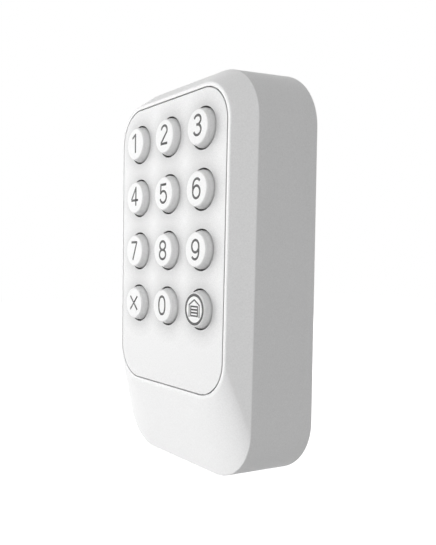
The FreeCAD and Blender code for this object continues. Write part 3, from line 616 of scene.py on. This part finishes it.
@dataclass(frozen=True)
class SoftRubber(Surface):
    """Moulded silicone or foam rubber: dull, a little see-through where it is milky."""

    roughness: float = 0.7
    milk: float = 0.0
    milk_depth: float = 1.5
    pore: float = 0.5
    pore_depth: float = 0.02

    def looks(self, skin: Skin) -> dict[str, Any]:
        """Return the shader's inputs."""
        relief = skin.relief(skin.noise(self.pore, detail=4.0), self.pore_depth)
        looks = {"Base Color": linear(self.colour), "Roughness": self.roughness, "IOR": RUBBER_IOR,
                 "Normal": relief}
        if self.milk:
            looks.update({"Subsurface Weight": self.milk, "Subsurface Scale": self.milk_depth * MM})
        return looks


@dataclass(frozen=True)
class BoardLaminate(Surface):
    """Glass-filled laminate under green solder mask: paler tracks show through as a fine relief."""

    track_colour: str
    pitch: float = 1.6
    track_edge: Point = (0.42, 0.5)
    track_height: float = 0.03
    roughness: float = 0.25

    def looks(self, skin: Skin) -> dict[str, Any]:
        """Return the shader's inputs."""
        cells = skin.add("ShaderNodeTexVoronoi", {"Scale": 0.5 / (self.pitch * MM), "Vector": skin.place},
                         distance="MANHATTAN")
        tracks = skin.ranged(cells.outputs["Distance"], start=self.track_edge)
        shade = skin.blend(tracks, linear(self.colour), linear(self.track_colour))
        return {"Base Color": shade, "Roughness": self.roughness,
                "Normal": skin.relief(tracks, self.track_height)}


@dataclass(frozen=True)
class CellSleeve(Surface):
    """Shrink sleeve of a dry cell: a dark body and a bright band at its positive end."""

    band_colour: str
    band_edge: float
    up: int
    blur: float = 0.1
    roughness: float = 0.3

    def looks(self, skin: Skin) -> dict[str, Any]:
        """Return the shader's inputs."""
        height = skin.add("ShaderNodeSeparateXYZ", {"Vector": skin.place}).outputs["Z"]
        start, end = ((self.band_edge + off) * MM * self.up for off in (-self.blur, self.blur))
        band = skin.ranged(height, start=(start, end))
        shade = skin.blend(band, linear(self.colour), linear(self.band_colour))
        return {"Base Color": shade, "Metallic": band, "Roughness": self.roughness}


class Finish(Enum):
    """The keypad's finishes, each named for its material and how it is made, save the grey painted shade in
    the key gaps.
    """

    CASING = MouldedPlastic("moulded_white_abs_casing", "F5F5F5")
    # The panel's colour carries painted shade round the keys, with film as its strength.
    PANEL = MouldedPlastic("moulded_white_abs_panel", "EBEBEB", grain_depth=0.012, film=0.46)
    KEY = MouldedPlastic("moulded_white_keycap", "ECECEC", roughness=0.55, grain_depth=0.002)
    # Grey painted shade, put on the hole walls and on the keys' sides below the panel to darken the gaps.
    SCREEN = MouldedPlastic("grey_painted_gap_shade", "6C6C6C")
    HOUSING = MouldedPlastic("moulded_pale_grey_abs_housing", "D9DADA", grain_depth=0.008)
    PLATE = MouldedPlastic("moulded_pale_grey_abs_plate", "E2E3E3", grain_depth=0.008)
    CHIP = MouldedPlastic("moulded_black_epoxy", "1E1E20", roughness=0.5)
    LAMP = MouldedPlastic("moulded_lamp_resin", "F4EFC8", roughness=0.2)
    INK = PrintedInk("pad_printed_grey_ink", "4A4A4A")
    STEEL = RolledMetal("rolled_nickel_plated_steel", "C9C6BF")
    SCREW = RolledMetal("turned_zinc_plated_steel", "B9BABC", roughness=0.38)
    CAN = RolledMetal("drawn_tinned_steel", "BFC1C4", roughness=0.25)
    FOIL = RolledMetal("drawn_aluminium", "C8CACD", roughness=0.28)
    SILICONE = SoftRubber("moulded_milky_silicone", "E4E8E8", roughness=0.45, milk=0.4)
    SEAL = SoftRubber("cut_black_foam_rubber", "232325", pore=0.3)
    BOARD = BoardLaminate("etched_green_laminate", "0F4A2B", "2A6B45")
    CELL_UP = CellSleeve("shrunk_cell_sleeve_up", "2B2D30", "B4784A", 12.0, 1)
    CELL_DOWN = CellSleeve("shrunk_cell_sleeve_down", "2B2D30", "B4784A", 12.0, -1)

    @cache
    def material(self) -> Material:
        """Return the material, which is made once."""
        return self.value.material()

    def dress(self, piece: Piece) -> None:
        """Give a piece this finish all over."""
        piece.data.materials.clear()
        piece.data.materials.append(self.material())

    def coat(self, piece: Piece, covered: Callable[[Vector], bool]) -> None:
        """Give the faces whose middles pass a test this finish as their second one."""
        piece.data.materials.append(self.material())
        for face in piece.data.polygons:
            if covered(face.center):
                face.material_index = 1


def record_slot(node: str) -> str:
    """Return the record's material slot of a node."""
    return next(part["material_slot"] for part in frame["record"]["subparts"] if part["node"] == node)


def present(piece: Piece, body: str, finish: Finish, node: str, replaces: bool = True) -> None:
    """Dress a finished piece and let it ride on its body.

    Args:
        piece: the finished piece.
        body: the body that it moves with.
        finish: its finish.
        node: the CAD node that it goes with, whose slot in the record is looked up.
        replaces: whether it stands for that node too.
    """
    finish.dress(piece)
    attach(piece, body)
    if replaces:
        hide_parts(node)
    record_slot(node)
    LOG.info("%s rides on %s, %d faces", piece.name, body, len(piece.data.polygons))


# The keypad

@dataclass
class FacePanel:
    """Flat key panel with its soft-edged holes and the posts behind it."""

    lean: float = field(default_factory=press_lean)
    key_height: float = 2.15
    flange_rear: float = 2.8
    pitch: float = 18.0
    hole: float = 6.35
    hole_facets: int = 96
    mouth: float = 0.12
    mouth_steps: int = 6
    bare: float = 0.15
    gap_shade_reach: float = 1.0
    skirt: float = 1.2
    thick: float = 1.8
    post: float = 2.2
    post_end: float = 6.0
    post_edge: float = 0.2
    post_inset: Point = (7.85, 9.55)
    post_facets: int = 32
    pilot: float = 1.0
    edge: float = 0.15
    corner_segments: int = 20
    columns: tuple[float, ...] = (-1.0, 0.0, 1.0)
    rows: tuple[float, ...] = (1.5, 0.5, -0.5, -1.5)
    outline: Outline = Outline(29.35, 38.5, 53.05, 11.1)
    words: tuple[str, ...] = (*"123456789", "cancel", "0", "garage")

    @cached_property
    def origin(self) -> Vector:
        """Middle of the key grid on the panel's front, in millimetres of the row's frame."""
        corners = [Vector(corner) for word in self.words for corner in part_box(f"key_{word}")]
        middle = sum(corners, Vector()) / len(corners) / MM
        inwards = Vector((0.0, math.cos(self.lean), -math.sin(self.lean)))
        return middle - inwards * (self.flange_rear - self.key_height) / 2

    @cached_property
    def flattening(self) -> Matrix:
        """Matrix that takes a point of the row's frame to the flat modelling frame."""
        return self.place().inverted()

    @cached_property
    def spots(self) -> list[Point]:
        """Each key's middle on the panel, in the order of their words."""
        return [(column * self.pitch, row * self.pitch) for row in self.rows for column in self.columns]

    def seat(self, depth: float = 0.0) -> Seat:
        """Return the panel's plane at some depth, in the flat modelling frame of the wall."""
        flat = Vector((self.origin.x, self.origin.z, -self.origin.y))
        return Seat(self.lean, flat - Vector((0.0, math.sin(self.lean), math.cos(self.lean))) * depth)

    def place(self, x: float = 0.0, y: float = 0.0) -> Matrix:
        """Return the place in the row's frame of what is modelled flat at a point of the panel."""
        return UPRIGHT @ self.seat().matrix() @ moved(x, y)

    def in_hole(self, point: Vector) -> bool:
        """Tell whether a point of the row's frame, in metres, lies in a hole, below its bare mouth."""
        flat = self.flattening @ point / MM
        near = min(math.hypot(flat.x - x, flat.y - y) for x, y in self.spots)
        return flat.z < -self.bare and near < self.hole + self.gap_shade_reach

    def under_panel(self, point: Vector) -> bool:
        """Tell whether a point of the row's frame, in metres, lies deeper than the keys' bare skirts."""
        return (self.flattening @ point).z < -self.skirt * MM

    def hole_cutter(self) -> Piece:
        """Model the tool that cuts one hole and rounds its mouth."""
        turns = [math.pi / 2 * step / self.mouth_steps for step in range(self.mouth_steps + 1)]
        flare = [(self.hole + self.mouth * (1 - math.sin(turn)), -self.mouth * (1 - math.cos(turn)))
                 for turn in reversed(turns)]
        profile = [(self.hole, -self.thick - OVERSHOOT), *flare, (self.hole + self.mouth, OVERSHOOT)]
        return turned("hole_cutter", profile, self.hole_facets)

    def build(self) -> None:
        """Model the panel and seat it."""
        panel = rounded_plate("key_panel_front", self.outline, self.corner_segments)
        with editing(panel, "FACE"):
            step = (0.0, 0.0, -self.thick * MM)
            bpy.ops.mesh.extrude_region_move(TRANSFORM_OT_translate={"value": step})
            face_outwards()
        round_ring(panel, Ring(self.outline, Seat(0.0, Vector())), self.edge, 3)
        for tool in spread(self.hole_cutter(), [moved(x, y) for x, y in self.spots]):
            cut(panel, tool)
        put_together([panel, *self.posts()])
        settle(panel, self.place())
        soften(panel)
        present(panel, "unit", Finish.PANEL, "key_panel")
        # The hole walls below the mouth get the grey painted shade.
        Finish.SCREEN.coat(panel, self.in_hole)

    def posts(self) -> list[Piece]:
        """Model the hollow posts that the circuit board screws to."""
        inset_x, inset_y = self.post_inset
        low_x, low_y = self.outline.half - inset_x, -(self.outline.bottom - inset_y)
        spots = [(x * self.pitch / 2, y * self.pitch) for x in (-1, 1) for y in (-1, 1)]
        spots += [(side * low_x, low_y) for side in (-1, 1)]
        profile = [(self.post, -self.thick), (self.post, -self.post_end + self.post_edge),
                   (self.post - self.post_edge, -self.post_end), (self.pilot, -self.post_end),
                   (self.pilot, -self.thick - OVERSHOOT)]
        post = turned("panel_post", profile, self.post_facets)
        return spread(post, [moved(x, y) for x, y in spots])


@dataclass
class Casing:
    """Deep front casing: a rounded lip, chamfers, a long sloping chin and drafted sides."""

    panel: FacePanel
    gap: float = 0.35
    lip: float = 1.1
    side_chamfer: float = 4.4
    top_chamfer: float = 4.85
    chin: float = 25.1
    shoulder_depth: float = 6.9
    shoulder_corner: float = 16.9
    taper: float = 0.08
    wall_gap: float = 0.4
    wall: float = 2.2
    front_wall: float = 3.6
    front_inset: float = 0.3
    shoulder_wall: float = 1.9
    ledge: float = 2.2
    access: float = 2.5
    access_y: float = 4.1
    access_run: Point = (-6.2, 2.0)
    access_facets: int = 48
    corner_segments: int = 24
    smooth: float = 30.0
    rounds: tuple[tuple[str, float, int], ...] = (
        ("lip", 0.4, 5), ("seat", 0.15, 2), ("shoulder", 0.25, 4), ("back", 0.12, 2),
        ("back_inside", 0.12, 2))

    @cached_property
    def rings(self) -> dict[str, Ring]:
        """Outlines from the panel's seat round the outside and back along the inside."""
        seat = self.panel.outline.grown(self.gap)
        lip = seat.grown(self.lip)
        shoulder = Outline(lip.half + self.side_chamfer, lip.top + self.top_chamfer,
                           lip.bottom + self.chin, self.shoulder_corner)
        low, high = (Vector(corner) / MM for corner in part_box("front_casing"))
        run = -self.panel.origin.y - self.shoulder_depth - self.wall_gap
        back = Outline(high.x, high.z, -low.z, self.shoulder_corner + self.taper * run)
        ledge = seat.grown(-self.ledge)
        at_wall = Seat(0.0, Vector((0.0, 0.0, self.wall_gap)))
        face, inner_depth = self.panel.seat, self.shoulder_depth + self.shoulder_wall
        return {
            "seat": Ring(seat, face()),
            "lip": Ring(lip, face()),
            "shoulder": Ring(shoulder, face(self.shoulder_depth)),
            "back": Ring(back, at_wall),
            "back_inside": Ring(back.grown(-self.wall), at_wall),
            "shoulder_inside": Ring(shoulder.grown(-self.wall), face(inner_depth)),
            "front_inside": Ring(lip.grown(-self.front_inset), face(self.front_wall)),
            "ledge_rear": Ring(ledge, face(self.front_wall)),
            "ledge_front": Ring(ledge, face(self.panel.thick)),
            "seat_floor": Ring(seat, face(self.panel.thick)),
        }

    def build(self) -> None:
        """Model the casing and seat it."""
        casing = loft_rings("front_casing_shell", list(self.rings.values()), self.corner_segments)
        for name, radius, segments in self.rounds:
            round_ring(casing, self.rings[name], radius, segments)
        self.drill_access(casing)
        settle(casing, UPRIGHT)
        soften(casing, self.smooth)
        present(casing, "unit", Finish.CASING, "front_casing")

    def drill_access(self, casing: Piece) -> None:
        """Cut the lock screw's hole in the casing's bottom; it ends just short of the inside."""
        bottom = self.rings["back"].outline.bottom
        upwards = Matrix.Rotation(-math.pi / 2, 4, "X")
        tool = turned("access_tool", [(self.access, end) for end in self.access_run], self.access_facets)
        settle(tool, moved(0.0, -bottom, self.access_y) @ upwards)
        cut(casing, tool)


@dataclass
class KeyCaps:
    """Twelve round keys: a flat face, a soft rim, tapered sides and a holding flange."""

    panel: FacePanel
    radius: float = 5.42
    foot: float = 5.84
    rim: float = 0.46
    rim_start: float = 38.0
    rim_steps: int = 7
    flange: float = 7.1
    flange_front: float = 1.9
    facets: int = 96

    def model(self) -> Piece:
        """Model one key, flat at the origin."""
        start, steps = math.radians(self.rim_start), self.rim_steps
        turns = [start + (math.pi / 2 - start) * step / steps for step in range(steps + 1)]
        bend = self.rim / (1 - math.sin(start))
        rise = self.panel.key_height - bend * math.cos(start)
        rim = [(self.radius - bend * (1 - math.sin(turn)), rise + bend * math.cos(turn))
               for turn in reversed(turns)]
        profile = [(self.flange, -self.panel.flange_rear), (self.flange, -self.flange_front),
                   (self.foot, -self.flange_front), (self.foot, -self.panel.skirt), (self.foot, 0.0)]
        return turned("key_model", profile + rim, self.facets)

    def build(self) -> None:
        """Make, seat and dress the twelve keys."""
        keys = spread(self.model(), [self.panel.place(x, y) for x, y in self.panel.spots])
        for key, word in zip(keys, self.panel.words):
            key.name = key.data.name = f"key_{word}_cap"
            soften(key)
            present(key, f"key_{word}", Finish.KEY, f"key_{word}")
            # The keys' sides below the panel get the grey painted shade.
            Finish.SCREEN.coat(key, self.panel.under_panel)


@dataclass(frozen=True)
class Stroke:
    """One line of a printed legend: its path on the key, and whether it closes on itself."""

    path: Sequence[Point]
    closed: bool = False


@dataclass
class Legends:
    """Numbers, cross and garage sign printed on the keys, in lines of even width."""

    panel: FacePanel
    width: float = 0.76
    cross_width: float = 0.68
    cross_arm: float = 2.35
    sign_width: float = 0.5
    ring_width: float = 0.87
    ring: float = 4.42
    film: float = 0.004
    half: float = 1.8
    reach: float = 2.87
    raised: dict[str, float] = field(default_factory=lambda: {
        "1": 0.3, "2": 0.42, "3": 0.5, "4": 0.5, "6": 0.12, "0": 0.2})

    @cached_property
    def signs(self) -> dict[str, list[Stroke]]:
        """Strokes of each number and sign, drawn about the origin."""
        w, h, arm = self.half, self.reach, self.cross_arm
        low_bowl = (0.0, -0.36 * h)
        shapes = {
            "0": [Stroke(self.oval(w, h), True)],
            "1": [Stroke([(0.15, h + 0.3), (0.15, -h - 0.35)]),
                  Stroke([(-w - 0.1, 1.7), (0.15, h + 0.02)])],
            "2": [Stroke(arc((0.0, h - 1.45), (w - 0.15, 1.45), 172, -28) + [(-w - 0.05, -h + 0.3)]),
                  Stroke([(-w - 0.2, -h + 0.15), (w + 0.1, -h + 0.15)])],
            "3": [Stroke(arc((-0.05, h - 1.35), (w - 0.15, 1.35), 162, -88) + [(-0.6, h - 2.7)]),
                  Stroke([(-0.6, h - 2.7)] + arc((-0.05, -h + 1.52), (w, 1.52), 90, -165))],
            "4": [Stroke([(0.75, h + 0.3), (0.75, -h - 0.3)]),
                  Stroke([(0.85, h + 0.1), (-w - 0.35, -1.2)]),
                  Stroke([(-w - 0.45, -1.35), (w + 0.4, -1.35)])],
            "5": [Stroke([(-1.75, h), (w - 0.2, h)]), Stroke([(-1.42, h + 0.3), (-1.62, -0.05)]),
                  Stroke([(-1.75, 0.02)] + arc((-0.1, -h + 1.85), (w + 0.05, 1.85), 135, -162))],
            "6": [self.bowl(low_bowl, (w, h + low_bowl[1])),
                  Stroke(arc((0.15, 0.85), (w + 0.1, h - 0.85), 38, 172) + [(-w, low_bowl[1])])],
            "7": [Stroke([(-w - 0.15, h), (w + 0.1, h)]), Stroke([(w - 0.12, h + 0.1), (-0.95, -h - 0.3)])],
            "8": [self.bowl((0.0, h - 1.38), (w - 0.18, 1.38)), self.bowl((0.0, -h + 1.5), (w, 1.5))],
            "cancel": [Stroke([(-arm, arm), (arm, -arm)]), Stroke([(-arm, -arm), (arm, arm)])],
            "garage": self.garage(),
        }
        shapes["9"] = [Stroke([(-x, -y) for x, y in stroke.path], stroke.closed) for stroke in shapes["6"]]
        return shapes

    @staticmethod
    def bowl(middle: Point, radii: Point) -> Stroke:
        """Return an elliptical loop."""
        return Stroke(arc(middle, radii, 0, 345, 36), True)

    @staticmethod
    def oval(half: float, reach: float, fullness: float = 2.3, steps: int = 40) -> list[Point]:
        """Return points round an oval that is fuller than an ellipse."""
        def fuller(share: float) -> float:
            """Push a share of a radius outwards."""
            return math.copysign(abs(share) ** (2 / fullness), share)

        turns = [math.radians(step * 360.0 / steps) for step in range(steps)]
        return [(fuller(math.cos(turn)) * half, fuller(math.sin(turn)) * reach) for turn in turns]

    def garage(self) -> list[Stroke]:
        """Return the strokes of the garage: a pitched roof on two walls, and a door of four bars."""
        eave_x, eave_y, ridge, floor = 2.6, 1.35, 2.95, -2.4
        door, top, bars, step = 1.75, 0.9, 4, 0.95
        low = top - (bars - 1) * step
        half_line = self.sign_width / 2
        sides = (-1, 1)
        walls = [Stroke([(side * -eave_x, floor), (side * -eave_x, eave_y + 0.1)]) for side in sides]
        roof = [Stroke([(side * -(eave_x + 0.12), eave_y - 0.04), (side * 0.1, ridge + 0.05)])
                for side in sides]
        slats = [Stroke([(-door, top - i * step), (door, top - i * step)]) for i in range(bars)]
        posts = [Stroke([(side * door, top + half_line), (side * door, low - half_line)]) for side in sides]
        return walls + roof + slats + posts

    def ribbon(self, stroke: Stroke, width: float) -> Piece:
        """Model one stroke as a flat ribbon: a curve with a rectangular section, made a mesh."""
        corners = [(x * width / 2, y * self.film) for x, y in ((-1, -1), (1, -1), (1, 1), (-1, 1))]
        section = self.line("ribbon_section", "2D", Stroke(corners, True))
        piece = self.line("ribbon", "3D", stroke)
        curve = piece.data
        curve.twist_mode = "Z_UP"
        curve.bevel_mode, curve.bevel_object, curve.use_fill_caps = "OBJECT", section, True
        activate(piece)
        bpy.ops.object.convert(target="MESH")
        bpy.data.objects.remove(section)
        with editing(piece):
            bpy.ops.mesh.remove_doubles(threshold=self.film / 4 * MM)
            face_outwards()
        return piece

    @staticmethod
    def line(name: str, dimensions: str, stroke: Stroke) -> Piece:
        """Draw a stroke as a curve of straight runs."""
        curve = bpy.data.curves.new(name, "CURVE")
        curve.dimensions = dimensions
        spline = curve.splines.new("POLY")
        spline.points.add(len(stroke.path) - 1)
        for point, (x, y) in zip(spline.points, stroke.path):
            point.co = (x * MM, y * MM, 0.0, 1.0)
        spline.use_cyclic_u = stroke.closed
        piece = bpy.data.objects.new(name, curve)
        bpy.context.collection.objects.link(piece)
        return piece

    def legend(self, word: str) -> Piece:
        """Model one key's legend, flat at the origin."""
        width = {"cancel": self.cross_width, "garage": self.sign_width}.get(word, self.width)
        piece = unite([self.ribbon(stroke, width) for stroke in self.signs[word]])
        if word == "garage":
            circle = Stroke(arc((0.0, 0.0), (self.ring, self.ring), 0, 355, 71), True)
            put_together([piece, self.ribbon(circle, self.ring_width)])
        return piece

    def build(self) -> None:
        """Make, seat and dress every legend."""
        for word, (x, y) in zip(self.panel.words, self.panel.spots):
            piece = self.legend(word)
            piece.name = piece.data.name = f"legend_{word}"
            place = self.panel.place(x, y + self.raised.get(word, 0.0))
            settle(piece, place @ moved(0.0, 0.0, self.panel.key_height))
            present(piece, f"key_{word}", Finish.INK, f"key_{word}", replaces=False)


@dataclass
class RearParts:
    """Rear housing, battery door and wall plate: their own solids, with eased moulded edges."""

    edge: float = 0.22
    flat: float = 0.5
    smooth: float = 40.0
    plan: tuple[tuple[str, str, Finish], ...] = (
        ("rear_housing", "unit", Finish.HOUSING),
        ("battery_door", "battery_door", Finish.HOUSING),
        ("wall_plate", "wall_plate", Finish.PLATE))

    def build(self) -> None:
        """Make and dress the pieces seen from behind and below."""
        for node, body, finish in self.plan:
            piece = duplicate(frame["nodes"][node], f"{node}_moulding")
            with editing(piece):
                bpy.ops.mesh.remove_doubles(threshold=TINY * MM)
                bpy.ops.mesh.dissolve_limited(angle_limit=math.radians(self.flat))
            apply_modifier(piece, "BEVEL", width=self.edge * MM, segments=2, limit_method="ANGLE",
                           angle_limit=math.radians(self.smooth), use_clamp_overlap=True,
                           miter_outer="MITER_ARC")
            soften(piece, self.smooth)
            present(piece, body, finish, node)


CARRIED_FINISHES = {
    "clear_silicone": Finish.SILICONE,
    "seal_rubber": Finish.SEAL,
    "board_laminate": Finish.BOARD,
    "chip_resin": Finish.CHIP,
    "lamp_resin": Finish.LAMP,
    "tinned_can": Finish.CAN,
    "capacitor_can": Finish.FOIL,
    "sprung_steel": Finish.STEEL,
    "zinc_screw": Finish.SCREW,
}
CELL_FINISHES = {"battery_left": Finish.CELL_UP, "battery_right": Finish.CELL_DOWN}


def dress_carried_nodes() -> None:
    """Give the CAD nodes that stay in sight their finishes."""
    for name, node in frame["nodes"].items():
        finish = CELL_FINISHES.get(name) or CARRIED_FINISHES.get(record_slot(name))
        if finish:
            finish.dress(node)


# Studio

@dataclass(frozen=True)
class Softbox:
    """Square lamp: its turn to the right of the front and its lift in degrees, and its power in watts."""

    turn: float
    lift: float
    power: float
    side: float = 1200.0
    distance: float = 2000.0

    def direction(self) -> Vector:
        """Return the way from the keypad to the lamp."""
        turn, lift = math.radians(self.turn), math.radians(self.lift)
        return Vector((math.cos(lift) * math.sin(turn), -math.cos(lift) * math.cos(turn), math.sin(lift)))

    def hang(self, name: str) -> None:
        """Hang the lamp in its place, facing the keypad."""
        data = bpy.data.lights.new(name, "AREA")
        data.shape, data.size = "SQUARE", self.side * MM
        data.energy = self.power
        lamp = bpy.data.objects.new(name, data)
        bpy.context.collection.objects.link(lamp)
        lamp.location = self.direction() * self.distance * MM
        lamp.rotation_euler = self.direction().to_track_quat("Z", "Y").to_euler()
        lamp.visible_camera = False


@dataclass(frozen=True)
class PhotoCamera:
    """The photograph's camera: where it stood, which way it looked and its focal length in pixels."""

    place: tuple[float, float, float] = (169.63, -141.15, 5.73)
    yaw: float = 52.1228
    pitch: float = 5.744
    roll: float = 0.2822
    focal_px: float = 618.6854
    width_px: int = 436
    height_px: int = 545
    middle_row: float = 322.0
    sensor: float = 36.0
    near: float = 10.0
    far: float = 20000.0

    def set_up(self) -> None:
        """Put the camera in its place and make it the scene's, with a sensor that spans the longer side."""
        data = bpy.data.cameras.new("photo_camera")
        longer = max(self.width_px, self.height_px)
        data.sensor_width, data.lens = self.sensor, self.focal_px / longer * self.sensor
        data.shift_y = (self.middle_row - self.height_px / 2) / longer
        data.clip_start, data.clip_end = self.near * MM, self.far * MM
        camera = bpy.data.objects.new("photo_camera", data)
        bpy.context.collection.objects.link(camera)
        camera.matrix_world = self.matrix()
        bpy.context.scene.camera = camera

    def matrix(self) -> Matrix:
        """Return the camera's place and turn in the row's frame."""
        yaw, pitch, roll = (math.radians(angle) for angle in (self.yaw, self.pitch, self.roll))
        level = Vector((math.cos(yaw), math.sin(yaw), 0.0))
        forwards = Vector((-math.sin(yaw), math.cos(yaw), 0.0))
        ahead = forwards * math.cos(pitch) - Vector((0.0, 0.0, math.sin(pitch)))
        above = level.cross(ahead)
        right = level * math.cos(roll) + above * math.sin(roll)
        up = above * math.cos(roll) - level * math.sin(roll)
        turn = Matrix((right, up, -ahead)).transposed().to_4x4()
        return moved(*self.place) @ turn


@dataclass
class Studio:
    """Pale floor, soft lamps, white surroundings and the camera at the photograph's place."""

    floor_drop: float = 150.0
    floor_size: float = 6000.0
    floor_colour: str = "D2D2D2"
    floor_glow: float = 0.9
    ambient: float = 0.175
    camera: PhotoCamera = PhotoCamera()
    lamps: dict[str, Softbox] = field(default_factory=lambda: {
        "left_softbox": Softbox(turn=-55.0, lift=0.0, power=28.5),
        "front_softbox": Softbox(turn=-15.0, lift=15.0, power=6.0),
        "right_softbox": Softbox(turn=28.0, lift=15.0, power=16.0),
        "back_softbox": Softbox(turn=-160.0, lift=20.0, power=15.0)})

    def surroundings(self) -> None:
        """Make the world: white where the camera or a reflection sees it, dimmer as light."""
        world = bpy.data.worlds.new("white_room")
        bpy.context.scene.world = world
        room = Shading(world)
        rays = room.add("ShaderNodeLightPath").outputs
        seen = room.maths("MAXIMUM", rays["Is Camera Ray"], rays["Is Glossy Ray"])
        seen = room.maths("MAXIMUM", seen, rays["Is Transmission Ray"])
        strength = room.ranged(seen, end=(self.ambient, 1.0))
        light = room.add("ShaderNodeBackground", {"Color": WHITE, "Strength": strength})
        room.add("ShaderNodeOutputWorld", {"Surface": light.outputs["Background"]})

    def floor(self) -> None:
        """Lay the floor: it shows white, and keeps the keypad's shadow."""
        level = CAD_BOX[0][2] - self.floor_drop * MM
        deselect()
        bpy.ops.mesh.primitive_grid_add(x_subdivisions=4, y_subdivisions=4, size=self.floor_size * MM,
                                        location=(0.0, 0.0, level))
        floor = bpy.context.object
        floor.name = "studio_floor"
        bpy.ops.object.transform_apply(location=True)
        material = bpy.data.materials.new("matt_white_floor")
        cover = Shading(material)
        rays = cover.add("ShaderNodeLightPath").outputs
        seen = cover.maths("MAXIMUM", rays["Is Camera Ray"], rays["Is Glossy Ray"])
        strength = cover.maths("MULTIPLY", seen, self.floor_glow)
        paint = cover.add("ShaderNodeBsdfDiffuse", {"Color": linear(self.floor_colour)})
        glow = cover.add("ShaderNodeEmission", {"Color": WHITE, "Strength": strength})
        both = cover.add("ShaderNodeAddShader", {0: paint.outputs[0], 1: glow.outputs[0]})
        cover.add("ShaderNodeOutputMaterial", {"Surface": both.outputs[0]})
        floor.data.materials.append(material)
        floor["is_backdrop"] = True

    def build(self) -> None:
        """Make everything round the keypad."""
        self.surroundings()
        for name, softbox in self.lamps.items():
            softbox.hang(name)
        self.floor()
        self.camera.set_up()
        bpy.context.scene.view_settings.view_transform = "Standard"


def write_sizes() -> None:
    """Gather the CAD box and the visual model's box as lists; they are not kept."""
    boxes = {"cad": CAD_BOX, "visual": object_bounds()}
    {name: [list(corner) for corner in box] for name, box in boxes.items()}


def main() -> None:
    """Build the keypad's looks and the studio round it."""
    logging.basicConfig(level=logging.INFO, format="%(name)s: %(message)s")
    panel = FacePanel()
    Casing(panel).build()
    panel.build()
    KeyCaps(panel).build()
    Legends(panel).build()
    RearParts().build()
    dress_carried_nodes()
    Studio().build()
    write_sizes()


if __name__ == "__main__":
    main()
